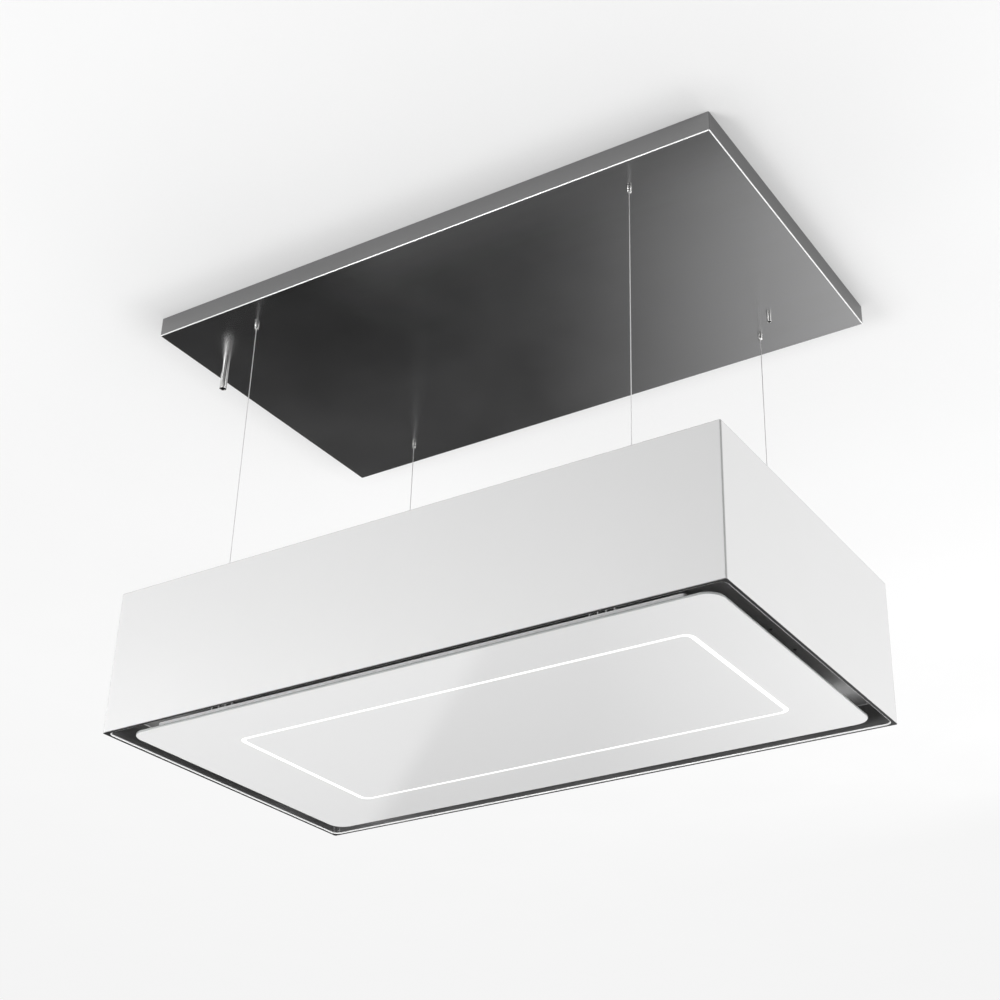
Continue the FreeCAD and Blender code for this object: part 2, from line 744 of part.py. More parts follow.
def gripper_release(number, side_x, side_y):
    """Sprung plunger under a gripper: pushed up, it lets the wire slide."""
    name = f"gripper_release_{number}"
    spot = (side_x * wire_x, side_y * wire_y)
    head_top = cover_floor - d.gripper_collar - d.plunger_gap
    head_bottom = head_top - d.plunger_head
    stem_top = head_top + d.plunger_stem_long
    head = rod(f"{name}_head", d.plunger, head_bottom, head_top, spot)
    stem = rod(f"{name}_stem", d.plunger_stem, head_bottom, stem_top, spot)
    bore = rod(f"{name}_bore", wire_bore, head_bottom, stem_top, spot)
    return cut(name, fuse(f"{name}_solid", [head, stem]), [bore])


def gripper_nuts():
    """Nuts that pull the collars and the cover up against the ceiling rails."""
    nuts = []
    low = cover_inside + d.rail_sheet
    high = low + d.gripper_nut_tall
    for number, (side_x, side_y) in enumerate(CORNERS, start=1):
        spot = (side_x * wire_x, side_y * wire_y)
        hexagon = nut(f"gripper_nut_hexagon{number}", d.gripper_stem * 2, low, high, spot)
        thread = d.gripper_stem + d.thread_play
        bore = rod(f"gripper_nut_bore{number}", thread, low, high, spot)
        nuts.append(cut(f"gripper_nut{number}", hexagon, [bore]))
    return group("gripper_nuts", nuts)


def suspension_wires():
    """Four wires, each with a crimped stop above its gripper and below its anchor."""
    wires = []
    top_low = cover_floor + d.gripper_stem_long + d.seat
    top_high = top_low + d.wire_stop_long
    stud_end = flange_underside - d.anchor_stud_long
    end_high = stud_end - d.seat
    end_low = end_high - d.wire_stop_long
    for number, (side_x, side_y) in enumerate(CORNERS, start=1):
        spot = (side_x * wire_x, side_y * wire_y)
        strand = rod(f"wire_strand{number}", d.wire, end_low, top_high, spot)
        upper = rod(f"wire_upper_stop{number}", d.wire_stop, top_low, top_high, spot)
        lower = rod(f"wire_lower_stop{number}", d.wire_stop, end_low, end_high, spot)
        wires.append(fuse(f"wire{number}", [strand, upper, lower]))
    return group("suspension_wires", wires)


def sleeve(name, radius, bore, drop, spot):
    """Tube with a flange that rests on the cover's floor and lets a lead out downwards."""
    low = cover_floor - drop
    flange_top = cover_inside + d.sleeve_flange_tall
    tube = rod(f"{name}_tube", radius, low, flange_top, spot)
    flange = rod(f"{name}_flange", radius + d.sleeve_flange, cover_inside, flange_top, spot)
    hole = rod(f"{name}_bore", bore, low, flange_top, spot)
    return cut(name, fuse(f"{name}_solid", [tube, flange]), [hole])


def junction_limits():
    """X, Y and Z limits of the junction box; it hangs on the left cross rail."""
    x1 = -d.cross_rail_x - d.cross_rail_width / 2
    z1 = -d.ceiling_play - d.grommet_tall
    z0 = cover_floor + d.junction_floor_gap
    return (x1 - d.junction_length, x1), limits(d.junction_width / 2), (z0, z1)


def junction_box():
    """Terminal box for the building's supply cable, open below."""
    x, y, z = junction_limits()
    wall = d.junction_wall
    outer = block("junction_outer", x, y, z)
    collar_spot = ((x[0] + x[1]) / 2, 0)
    collar = rod("junction_collar", d.grommet, z[1], z[1] + d.grommet_tall, collar_spot)
    inside = block(
        "junction_inside",
        (x[0] + wall, x[1] - wall),
        (y[0] + wall, y[1] - wall),
        (z[0], z[1] - wall),
    )
    hole = rod("junction_hole", d.grommet_bore, z[1] - wall, z[1] + d.grommet_tall, collar_spot)
    return cut("junction_box", fuse("junction_solid", [outer, collar]), [inside, hole])


def junction_box_lid():
    x, y, z = junction_limits()
    wall = d.junction_wall
    plate = block("junction_plate", x, y, (z[0] - wall, z[0]))
    rib = block(
        "junction_rib",
        (x[0] + wall, x[1] - wall),
        (y[0] + wall, y[1] - wall),
        (z[0], z[0] + wall),
    )
    return fuse("junction_box_lid", [plate, rib])


# ---------------------------------------------------------------- casing and chassis


def casing():
    """Lacquered outer shell; its top flange is joggled so the cover lies flush."""
    body = new_body("casing")
    low = hood_bottom + d.liner_sheet
    inner_corner = d.casing_corner - d.casing_sheet
    outline = sketch_on(body, "casing_outline", level=low)
    draw_rectangle(outline, limits(hood_half_x), limits(hood_half_y), d.casing_corner)
    pad(body, "casing_block", outline, hood_top - low)
    hollow = sketch_on(body, "casing_hollow_outline", level=low)
    draw_rectangle(hollow, limits(casing_inside_x), limits(casing_inside_y), inner_corner)
    pocket(body, "casing_hollow", hollow, flange_underside - low)
    mouth = sketch_on(body, "casing_mouth_outline", level=flange_underside)
    mouth_x = casing_inside_x - d.casing_flange
    mouth_y = casing_inside_y - d.casing_flange
    draw_rectangle(mouth, limits(mouth_x), limits(mouth_y))
    pocket(body, "casing_mouth", mouth, d.casing_sheet + d.top_sheet)
    joggle = sketch_on(body, "casing_joggle_outline", level=top_underside)
    draw_rectangle(joggle, limits(casing_inside_x), limits(casing_inside_y), inner_corner)
    pocket(body, "casing_joggle", joggle, d.top_sheet)
    holes = sketch_on(body, "casing_screw_outlines", level=flange_underside)
    for x, y in cover_screw_spots():
        draw_circle(holes, d.screw, x, y)
    pocket(body, "casing_screw_holes", holes, d.casing_sheet)
    return body


def cover_screw_spots():
    """Places of the top cover's screws, along the middle of the casing's flange."""
    edge_x = casing_inside_x - d.casing_flange / 2
    edge_y = casing_inside_y - d.casing_flange / 2
    pitch = (hood_half_x - d.cover_screw_end) / 2
    spots = []
    for side in (-1, 1):
        for step in (-2, -1, 0, 1, 2):
            spots.append((step * pitch, side * edge_y))
        spots.append((side * edge_x, as_size(0)))
    return spots


def top_cover():
    """Flat plate over the casing, with the air outlet and the wire anchors' holes."""
    body = new_body("top_cover")
    half_x = casing_inside_x - d.top_play
    half_y = casing_inside_y - d.top_play
    outline = sketch_on(body, "top_outline", level=top_underside)
    draw_rectangle(outline, limits(half_x), limits(half_y), d.casing_corner)
    pad(body, "top_plate", outline, d.top_sheet)
    holes = sketch_on(body, "top_hole_outlines", level=top_underside)
    for side_x, side_y in CORNERS:
        shoulder = d.anchor_shoulder + d.wire_play
        draw_circle(holes, shoulder, side_x * wire_x, side_y * wire_y)
    for x, y in lead_spots():
        draw_circle(holes, d.gland_thread + d.bolt_play, x, y)
    for x, y in cover_screw_spots():
        draw_circle(holes, d.screw + d.bolt_play, x, y)
    half_long, open_y = grille_opening()
    play = d.seat
    draw_rectangle(holes, limits(half_long + play), (open_y[0] - play, open_y[1] + play))
    pocket(body, "top_holes", holes, d.top_sheet)
    return body


def cover_screws():
    screws = []
    low = hood_top - d.screw_long
    high = hood_top + d.screw_head_tall
    for number, spot in enumerate(cover_screw_spots()):
        head = rod(f"cover_screw_head{number}", d.screw_head, hood_top, high, spot)
        shank = rod(f"cover_screw_shank{number}", d.screw, low, hood_top, spot)
        screws.append(fuse(f"cover_screw{number}", [head, shank]))
    return group("cover_screws", screws)


def grille_opening():
    """Half length and Y limits of the grille's opening, inside the blower's outlet."""
    open_y = (d.outlet_start + d.grille_inset_y, outlet_back - d.grille_inset_y)
    return d.scroll_half - d.grille_inset_x, open_y


def outlet_grille():
    """Louvred outlet for the cleaned air, set in the top cover over the blower."""
    half_long, open_y = grille_opening()
    border = d.grille_border
    wall = d.grille_thick
    high = hood_top + wall
    low = hood_top - d.slat_deep
    outline_y = (open_y[0] - border, open_y[1] + border)
    plate = block("grille_plate", limits(half_long + border), outline_y, (hood_top, high))
    skirt = block("grille_skirt", limits(half_long), open_y, (low, high))
    inside_x = limits(half_long - wall)
    inside_y = (open_y[0] + wall, open_y[1] - wall)
    inside = block("grille_inside", inside_x, inside_y, (low, high))
    frame = cut("grille_frame", fuse("grille_solid", [plate, skirt]), [inside])
    slats = []
    middle = (open_y[0] + open_y[1]) / 2
    for step in (-2, -1, 0, 1, 2):
        slat = doc.addObject("Part::Box", f"grille_slat{step}")
        tilt = Rotation(Vector(1, 0, 0), d.slat_tilt.value)
        slat.Placement = FreeCAD.Placement(Vector(0, 0, 0), tilt)
        bind(slat, "Placement.Rotation.Angle", d.slat_tilt)
        bind(slat, "Length", half_long * 2)
        bind(slat, "Width", d.slat_thick)
        bind(slat, "Height", d.slat_deep)
        y = middle + step * d.slat_pitch + d.slat_deep / 4
        slats.append(place(slat, -half_long, y, low))
    envelope = block("grille_envelope", limits(half_long), open_y, (low, high))
    blades = doc.addObject("Part::Common", "grille_blades")
    blades.Base = fuse("grille_slats", slats)
    blades.Tool = envelope
    return fuse("outlet_grille", [frame, blades])


def chassis_rails():
    """Two channels under the top cover; the wire anchors pass through their webs."""
    rails = []
    half = d.chassis_width / 2
    sheet_thick = d.chassis_sheet
    low = flange_underside - d.chassis_height
    for side in (-1, 1):
        middle = side * wire_y
        outer_y = (middle - half, middle + half)
        inner_y = (middle - half + sheet_thick, middle + half - sheet_thick)
        ends = limits(casing_inside_x)
        outer = block(f"chassis_outer{side}", ends, outer_y, (low, flange_underside))
        inner = block(f"chassis_inner{side}", ends, inner_y, (low, flange_underside - sheet_thick))
        holes = [inner]
        for end in (-1, 1):
            spot = (end * wire_x, middle)
            bore = d.anchor_stud + d.bolt_play
            web = (flange_underside - sheet_thick, flange_underside)
            holes.append(rod(f"chassis_hole{side}{end}", bore, *web, spot))
        rails.append(cut(f"chassis_rail{side}", outer, holes))
    return group("chassis_rails", rails)


def cross_members():
    """Angles across the chassis: two hold the blower and two stiffen the ends."""
    members = []
    reach = wire_y - d.chassis_width / 2
    sheet_thick = d.chassis_sheet
    low = flange_underside - d.cross_height
    for end in (-1, 1):
        for label, start in (("blower", d.scroll_half), ("outer", outer_cross_x)):
            web_x = sorted_pair(end * start, end * sheet_thick)
            flange_x = sorted_pair(end * start, end * d.cross_flange)
            web = block(f"cross_web_{label}{end}", web_x, limits(reach), (low, flange_underside))
            flange = block(
                f"cross_flange_{label}{end}",
                flange_x,
                limits(reach),
                (flange_underside - sheet_thick, flange_underside),
            )
            member = fuse(f"cross_member_{label}{end}", [web, flange])
            if label == "blower":
                holes = []
                for number, y in enumerate(ear_screw_ys()):
                    spot = (y, hood_top - d.ear_screw_drop)
                    holes.append(rod(f"cross_hole{end}{number}", d.screw, *web_x, spot, "x"))
                member = cut(f"cross_member_drilled{end}", member, holes)
            members.append(member)
    return group("cross_members", members)


def ear_screw_ys():
    return d.ear_screw_inset - d.ear_margin - scroll_first, d.ear_screw_back


def wire_anchors():
    """Threaded anchors that take the wires' lower ends on the hood's top."""
    anchors = []
    stud_end = flange_underside - d.anchor_stud_long
    high = hood_top + d.anchor_collar_tall
    for number, (side_x, side_y) in enumerate(CORNERS, start=1):
        spot = (side_x * wire_x, side_y * wire_y)
        collar = rod(f"anchor_collar{number}", d.anchor_collar, hood_top, high, spot)
        shoulder = rod(f"anchor_shoulder{number}", d.anchor_shoulder, flange_underside, hood_top, spot)
        stud = rod(f"anchor_stud{number}", d.anchor_stud, stud_end, flange_underside, spot)
        bore = rod(f"anchor_bore{number}", wire_bore, stud_end, high, spot)
        solid = fuse(f"anchor_solid{number}", [collar, shoulder, stud])
        anchors.append(cut(f"anchor{number}", solid, [bore]))
    return group("wire_anchors", anchors)


def anchor_nuts():
    nuts = []
    high = flange_underside - d.chassis_sheet
    low = high - d.anchor_nut_tall
    for number, (side_x, side_y) in enumerate(CORNERS, start=1):
        spot = (side_x * wire_x, side_y * wire_y)
        hexagon = nut(f"anchor_nut_hexagon{number}", d.anchor_nut, low, high, spot)
        thread = d.anchor_stud + d.thread_play
        bore = rod(f"anchor_nut_bore{number}", thread, low, high, spot)
        nuts.append(cut(f"anchor_nut{number}", hexagon, [bore]))
    return group("anchor_nuts", nuts)


def lead_spots():
    """Places of the supply and control leads, in the ceiling box and in the hood below."""
    return [
        (d.supply_sleeve_inset_x - hood_half_x, d.supply_sleeve_inset_y - wire_y),
        (hood_half_x - d.control_sleeve_inset_x, wire_y - d.control_sleeve_inset_y),
    ]


def lead_glands():
    glands = []
    high = hood_top + d.gland_collar_tall
    low = top_underside - d.gland_nut_tall
    for number, spot in enumerate(lead_spots()):
        collar = rod(f"gland_collar{number}", d.gland_collar, hood_top, high, spot)
        thread = rod(f"gland_thread{number}", d.gland_thread, low, hood_top, spot)
        locknut = rod(f"gland_nut{number}", d.gland_nut, low, top_underside, spot)
        bore = rod(f"gland_bore{number}", d.gland_bore, low, high, spot)
        solid = fuse(f"gland_solid{number}", [collar, thread, locknut])
        glands.append(cut(f"gland{number}", solid, [bore]))
    return group("lead_glands", glands)


# ---------------------------------------------------------------- liner and filters


def filter_centres():
    """Signs and X places of the two grease filters."""
    middle = (d.filter_length + d.filter_spacing) / 2
    return [(-1, -middle), (1, middle)]


def liner():
    """Steel recess under the hood: bottom flange, four walls and a ceiling with two windows."""
    body = new_body("liner")
    thick = d.liner_sheet
    flange = sketch_on(body, "liner_flange_outline", level=hood_bottom)
    draw_rectangle(flange, limits(hood_half_x), limits(hood_half_y), d.casing_corner)
    pad(body, "liner_flange", flange, thick)
    walls = sketch_on(body, "liner_wall_outline", level=hood_bottom + thick)
    outer_corner = d.liner_corner + thick
    draw_rectangle(walls, limits(liner_half_x + thick), limits(liner_half_y + thick), outer_corner)
    pad(body, "liner_walls", walls, liner_top - hood_bottom - thick)
    recess = sketch_on(body, "liner_recess_outline", level=hood_bottom)
    draw_rectangle(recess, limits(liner_half_x), limits(liner_half_y), d.liner_corner)
    pocket(body, "liner_recess", recess, d.liner_depth)
    holes = sketch_on(body, "liner_hole_outlines", level=liner_ceiling)
    window_x = d.filter_length / 2 + d.filter_play
    window_y = d.filter_width / 2 + d.filter_play
    for _, middle in filter_centres():
        span_y = (-d.filter_y - window_y, window_y - d.filter_y)
        draw_rectangle(holes, (middle - window_x, middle + window_x), span_y)
    for x, y in rivet_spots():
        draw_circle(holes, d.rivet, x, y)
    for x, y in hinge_screw_spots():
        draw_circle(holes, d.screw, x, y)
    pocket(body, "liner_holes", holes, thick)
    inner = (liner_half_x, liner_half_y)
    outer = (liner_half_x + thick, liner_half_y + thick)
    wide = d.liner_fold + thick
    round_outline(body, "mouth_fold", hood_bottom, *inner, wide)
    round_outline(body, "mouth_fold_back", hood_bottom + thick, *outer, d.liner_fold)
    round_outline(body, "ceiling_fold", liner_ceiling, *inner, d.liner_fold)
    round_outline(body, "ceiling_fold_back", liner_top, *outer, wide)
    return body


def rivet_spots():
    spots = []
    for side_x, side_y in CORNERS:
        spots.append((side_x * (hood_half_x - d.end_rivet_inset), side_y * d.end_rivet_y))
        spots.append((side_x * d.side_bracket_x, side_y * (hood_half_y - d.side_rivet_inset)))
    return spots


def liner_brackets():
    """Angles that hang the liner in the casing, two at the ends and four along the sides."""
    brackets = []
    foot_z = (liner_top, liner_top + d.bracket_sheet)
    leg_z = (liner_top, liner_top + d.bracket_tall)
    head_room = d.rivet_head * 3
    end_rivet_x = hood_half_x - d.end_rivet_inset
    side_rivet_y = hood_half_y - d.side_rivet_inset
    for end in (-1, 1):
        wall = end * casing_inside_x
        inner = end * (end_rivet_x - head_room)
        foot_x = sorted_pair(inner, wall - inner)
        leg_x = sorted_pair(wall, -end * d.bracket_sheet)
        half = limits(d.end_bracket_half)
        foot = block(f"end_bracket_foot{end}", foot_x, half, foot_z)
        leg = block(f"end_bracket_leg{end}", leg_x, half, leg_z)
        angle = fuse(f"end_bracket_angle{end}", [foot, leg])
        holes = []
        for side in (-1, 1):
            spot = (end * end_rivet_x, side * d.end_rivet_y)
            holes.append(rod(f"end_bracket_hole{end}{side}", d.rivet, *foot_z, spot))
        brackets.append(cut(f"end_bracket{end}", angle, holes))
    for side_x, side_y in CORNERS:
        tag = f"{side_x}{side_y}"
        wall = side_y * casing_inside_y
        inner = side_y * (side_rivet_y - head_room)
        middle = side_x * d.side_bracket_x
        half = (middle - d.side_bracket_half, middle + d.side_bracket_half)
        foot_y = sorted_pair(inner, wall - inner)
        leg_y = sorted_pair(wall, -side_y * d.bracket_sheet)
        foot = block(f"side_bracket_foot{tag}", half, foot_y, foot_z)
        leg = block(f"side_bracket_leg{tag}", half, leg_y, leg_z)
        angle = fuse(f"side_bracket_angle{tag}", [foot, leg])
        spot = (middle, side_y * side_rivet_y)
        hole = rod(f"side_bracket_hole{tag}", d.rivet, *foot_z, spot)
        brackets.append(cut(f"side_bracket{tag}", angle, [hole]))
    return group("liner_brackets", brackets)


def liner_rivets():
    rivets = []
    head_low = liner_ceiling - d.rivet_head_tall
    top = liner_top + d.bracket_sheet
    for number, spot in enumerate(rivet_spots()):
        head = rod(f"rivet_head{number}", d.rivet_head, head_low, liner_ceiling, spot)
        shank = rod(f"rivet_shank{number}", d.rivet, liner_ceiling, top, spot)
        tail = rod(f"rivet_tail{number}", d.rivet * 1.4, top, top + d.rivet_head_tall, spot)
        rivets.append(fuse(f"rivet{number}", [head, shank, tail]))
    return group("liner_rivets", rivets)


def filter_span(middle):
    """X and Y limits of a grease filter whose centre is at X = middle."""
    half_x = d.filter_length / 2
    half_y = d.filter_width / 2
    return (middle - half_x, middle + half_x), (-d.filter_y - half_y, half_y - d.filter_y)


def latch_levels():
    """Lower and upper face of a latch's tongue and of the filter's fixed tabs."""
    low = liner_top + d.seat
    return low, low + d.tab_thick


def grease_filter(name, middle):
    """Framed mesh cassette with two fixed tabs at the back and a slot for its latch."""
    x, y = filter_span(middle)
    low = liner_ceiling
    high = low + d.filter_thick
    border = d.filter_border
    slab = block(f"{name}_slab", x, y, (low, high))
    inner_x = (x[0] + border, x[1] - border)
    inner_y = (y[0] + border + d.latch_long, y[1] - border)
    lower = block(f"{name}_lower", inner_x, inner_y, (low, low + d.filter_recess))
    upper = block(f"{name}_upper", inner_x, inner_y, (high - d.filter_recess, high))
    tongue_low, tongue_high = latch_levels()
    half = d.latch_width / 2 + d.seat
    slot_x = (middle - half, middle + half)
    slot_end = y[0] + d.latch_long + d.latch_travel + d.seat
    slot_low = tongue_low - d.seat
    slot = block(f"{name}_slot", slot_x, (y[0], slot_end), (slot_low, tongue_high + d.seat))
    finger_start = y[0] + d.latch_long - d.latch_tab - d.seat
    finger = block(f"{name}_finger", slot_x, (finger_start, slot_end), (low, slot_low))
    pieces = [cut(f"{name}_cassette", slab, [lower, upper, slot, finger])]
    for side in (-1, 1):
        centre = middle + side * (d.filter_length / 2 - d.tab_inset)
        tab_x = (centre - d.tab_length / 2, centre + d.tab_length / 2)
        tab_y = (y[1], y[1] + d.tab_reach)
        pieces.append(block(f"{name}_tab{side}", tab_x, tab_y, latch_levels()))
    return fuse(name, pieces)


def filter_latch(name, middle):
    """Sliding latch: its tongue rests on the liner's edge and its tab takes a finger."""
    _, y = filter_span(middle)
    half = d.latch_width / 2
    tongue_low, tongue_high = latch_levels()
    x = (middle - half, middle + half)
    back = y[0] + d.latch_long
    tongue = block(f"{name}_tongue", x, (y[0] - d.tab_reach, back), (tongue_low, tongue_high))
    tab_y = (back - d.latch_tab, back)
    tab = block(f"{name}_tab", x, tab_y, (liner_ceiling - d.latch_drop, tongue_low))
    return fuse(name, [tongue, tab])


# ---------------------------------------------------------------- glass panel


def glass_panel():
    body = new_body("glass_panel")
    outline = sketch_on(body, "glass_outline", level=glass_bottom)
    draw_rectangle(outline, limits(glass_half_x), limits(glass_half_y), d.panel_corner)
    pad(body, "glass_sheet", outline, d.panel_thick)
    return body


def ring_limits(offset):
    """X and Y limits and corner radius of a rectangle that runs beside the light line."""
    left = glass_half_x - d.light_left_inset
    right = glass_half_x - d.light_right_inset
    x = (-left - offset, right + offset)
    y = limits(glass_half_y - d.light_side_inset + offset)
    return x, y, d.light_corner + offset


def light_ring(name, half, low, height):
    """A rectangular ring on the light's centre line, half wide to each side."""
    body = new_body(name)
    sketch = sketch_on(body, f"{name}_outline", level=low)
    draw_rectangle(sketch, *ring_limits(half))
    draw_rectangle(sketch, *ring_limits(-half))
    pad(body, f"{name}_ring", sketch, height)
    return body


def panel_tray():
    """Folded stiffening tray glued to the glass, with a window for the light channel."""
    body = new_body("panel_tray")
    outline = sketch_on(body, "tray_outline", level=glass_top)
    x = limits(tray_half_x)
    y = (-tray_front, tray_back)
    draw_rectangle(outline, x, y, d.tray_corner)
    pad(body, "tray_block", outline, d.tray_height)
    wall = d.tray_sheet
    hollow = sketch_on(body, "tray_hollow_outline", level=glass_top + wall)
    inner_y = (y[0] + wall, y[1] - wall)
    draw_rectangle(hollow, (x[0] + wall, x[1] - wall), inner_y, d.tray_corner - wall)
    pocket(body, "tray_hollow", hollow, d.tray_height)
    window = sketch_on(body, "tray_window_outline", level=glass_top)
    draw_rectangle(window, *ring_limits(d.channel_half + d.seat))
    pocket(body, "tray_window", window, wall)
    return body


def led_channel():
    """Aluminium channel over the light line, open towards the glass."""
    body = light_ring("led_channel", d.channel_half, glass_top, d.channel_height)
    groove = sketch_on(body, "channel_groove_outline", level=glass_top)
    inner = d.channel_half - d.channel_wall
    draw_rectangle(groove, *ring_limits(inner))
    draw_rectangle(groove, *ring_limits(-inner))
    pocket(body, "channel_groove", groove, d.channel_height - d.channel_wall)
    return body


def led_board():
    roof = glass_top + d.channel_height - d.channel_wall
    return light_ring("led_board", d.board_half, roof - d.board_thick, d.board_thick)


def light_guide():
    return light_ring("light_guide", d.guide_half, glass_top, d.guide_height)


def yoke_middles():
    """X places of the four yokes, in two pairs."""
    places = []
    for side in (-1, 1):
        for lean in (-1, 1):
            middle = side * (tray_half_x - d.yoke_inset) + lean * d.yoke_pitch / 2
            places.append((f"{side}{lean}", middle))
    return places


def catch_yokes():
    """Four U-shaped keepers welded inside the tray's front wall."""
    yokes = []
    front = -tray_front + d.tray_sheet
    y = (front, front + d.yoke_deep)
    base_low = tray_top - d.yoke_sheet
    for tag, middle in yoke_middles():
        x = (middle - d.yoke_half, middle + d.yoke_half)
        outer = block(f"yoke_outer{tag}", x, y, (base_low, tray_top + d.yoke_rise))
        inner_x = (x[0] + d.yoke_sheet, x[1] - d.yoke_sheet)
        gap = block(f"yoke_gap{tag}", inner_x, y, (tray_top, tray_top + d.yoke_rise))
        yokes.append(cut(f"yoke{tag}", outer, [gap]))
    return group("catch_yokes", yokes)


def catch_magnets():
    """Magnet posts under the liner's ceiling that reach down between the yokes' lugs."""
    posts = []
    front = -tray_front + d.tray_sheet
    margin = d.magnet_play
    y = (front + margin, front + d.yoke_deep - margin)
    for tag, middle in yoke_middles():
        half = d.yoke_half - d.yoke_sheet - margin
        x = (middle - half, middle + half)
        post = block(f"magnet_post{tag}", x, y, (tray_top + margin / 2, liner_ceiling))
        foot_x = (middle - d.magnet_foot, middle + d.magnet_foot)
        foot_z = (liner_ceiling - d.magnet_foot_thick, liner_ceiling)
        foot = block(f"magnet_foot{tag}", foot_x, y, foot_z)
        posts.append(fuse(f"magnet{tag}", [post, foot]))
    return group("catch_magnets", posts)


# ---------------------------------------------------------------- panel hinge


def hinge_screw_spots():
    spots = []
    for side in (-1, 1):
        for lean in (-1, 1):
            x = side * hinge_x + lean * d.hinge_screw_x
            spots.append((x, hinge_y + d.hinge_screw_y))
    return spots


def hinge_brackets():
    """Fixed hinge halves: a foot under the liner's ceiling and two ears round the pin."""
    brackets = []
    foot_z = (liner_ceiling - d.hinge_ear_sheet, liner_ceiling)
    for side in (-1, 1):
        middle = side * hinge_x
        foot_x = (middle - d.hinge_foot_half, middle + d.hinge_foot_half)
        foot_y = (hinge_y - d.hinge_ear, hinge_y + d.hinge_foot_reach)
        pieces = [block(f"hinge_foot{side}", foot_x, foot_y, foot_z)]
        holes = []
        for lean in (-1, 1):
            start = middle + lean * d.hinge_ear_inner
            ear_x = sorted_pair(start, lean * d.hinge_ear_sheet)
            ear_y = (hinge_y - d.hinge_ear, hinge_y + d.hinge_ear)
            tag = f"{side}{lean}"
            pieces.append(block(f"hinge_ear{tag}", ear_x, ear_y, (hinge_z, foot_z[0])))
            axis = (hinge_y, hinge_z)
            pieces.append(rod(f"hinge_round{tag}", d.hinge_ear, *ear_x, axis, "x"))
            holes.append(rod(f"hinge_hole{tag}", d.hinge_pin, *ear_x, axis, "x"))
            spot = (middle + lean * d.hinge_screw_x, hinge_y + d.hinge_screw_y)
            holes.append(rod(f"hinge_screw_hole{tag}", d.screw, *foot_z, spot))
        solid = fuse(f"hinge_bracket_solid{side}", pieces)
        brackets.append(cut(f"hinge_bracket{side}", solid, holes))
    return group("hinge_brackets", brackets)


def hinge_pins():
    pins = []
    axis = (hinge_y, hinge_z)
    reach = d.hinge_ear_inner + d.hinge_ear_sheet
    for side in (-1, 1):
        middle = side * hinge_x
        low = middle - reach
        high = middle + reach
        shank = rod(f"hinge_pin_shank{side}", d.hinge_pin, low, high, axis, "x")
        head_x = (high, high + d.hinge_pin_head_tall)
        head = rod(f"hinge_pin_head{side}", d.hinge_pin_head, *head_x, axis, "x")
        tail_x = (low - d.hinge_pin_head_tall, low)
        tail = rod(f"hinge_pin_tail{side}", d.hinge_pin_head, *tail_x, axis, "x")
        pins.append(fuse(f"hinge_pin_{side}", [shank, head, tail]))
    return group("hinge_pins", pins)


def hinge_screws():
    screws = []
    face = liner_ceiling - d.hinge_ear_sheet
    for number, spot in enumerate(hinge_screw_spots()):
        head_z = (face - d.screw_head_tall, face)
        head = rod(f"hinge_screw_head{number}", d.screw_head, *head_z, spot)
        shank = rod(f"hinge_screw_shank{number}", d.screw, face, face + d.screw_long, spot)
        screws.append(fuse(f"hinge_screw{number}", [head, shank]))
    return group("hinge_screws", screws)


def hinge_leaves():
    """Moving hinge halves, riveted to the tray's back wall."""
    leaves = []
    axis = (hinge_y, hinge_z)
    half = d.hinge_ear_inner - d.hinge_side_play
    for side in (-1, 1):
        middle = side * hinge_x
        x = (middle - half, middle + half)
        arm_z = (hinge_z - d.hinge_arm / 2, hinge_z + d.hinge_arm / 2)
        arm = block(f"hinge_arm{side}", x, (tray_back, hinge_y), arm_z)
        plate_y = (tray_back, tray_back + d.hinge_leaf)
        plate = block(f"hinge_plate{side}", x, plate_y, (glass_top + d.tray_sheet, arm_z[1]))
        knuckle = rod(f"hinge_knuckle{side}", d.hinge_knuckle, *x, axis, "x")
        bore = rod(f"hinge_bore{side}", d.hinge_pin + d.running, *x, axis, "x")
        solid = fuse(f"hinge_leaf_solid{side}", [arm, plate, knuckle])
        leaves.append(cut(f"hinge_leaf_{side}", solid, [bore]))
    return group("hinge_leaves", leaves)


# ---------------------------------------------------------------- blower


def scroll_solid(name, x, shrink, outlet_top):
    """A scroll between two X limits: three quarters of growing radius and the outlet."""
    y0 = as_size(0)
    step = d.scroll_step
    first = scroll_first - shrink
    second = first + step
    third = second + step
    wall_y = step + third
    upper = rod(f"{name}_upper", first, *x, (y0, blower_z), "x", 0, 180)
    left = rod(f"{name}_left", second, *x, (step, blower_z), "x", 180, 90)
    right = rod(f"{name}_right", third, *x, (step, blower_z + step), "x", 270, 90)
    outlet_y = (d.outlet_start + shrink, wall_y)
    outlet = block(f"{name}_outlet", x, outlet_y, (blower_z + step, outlet_top))
    return fuse(name, [upper, left, right, outlet])


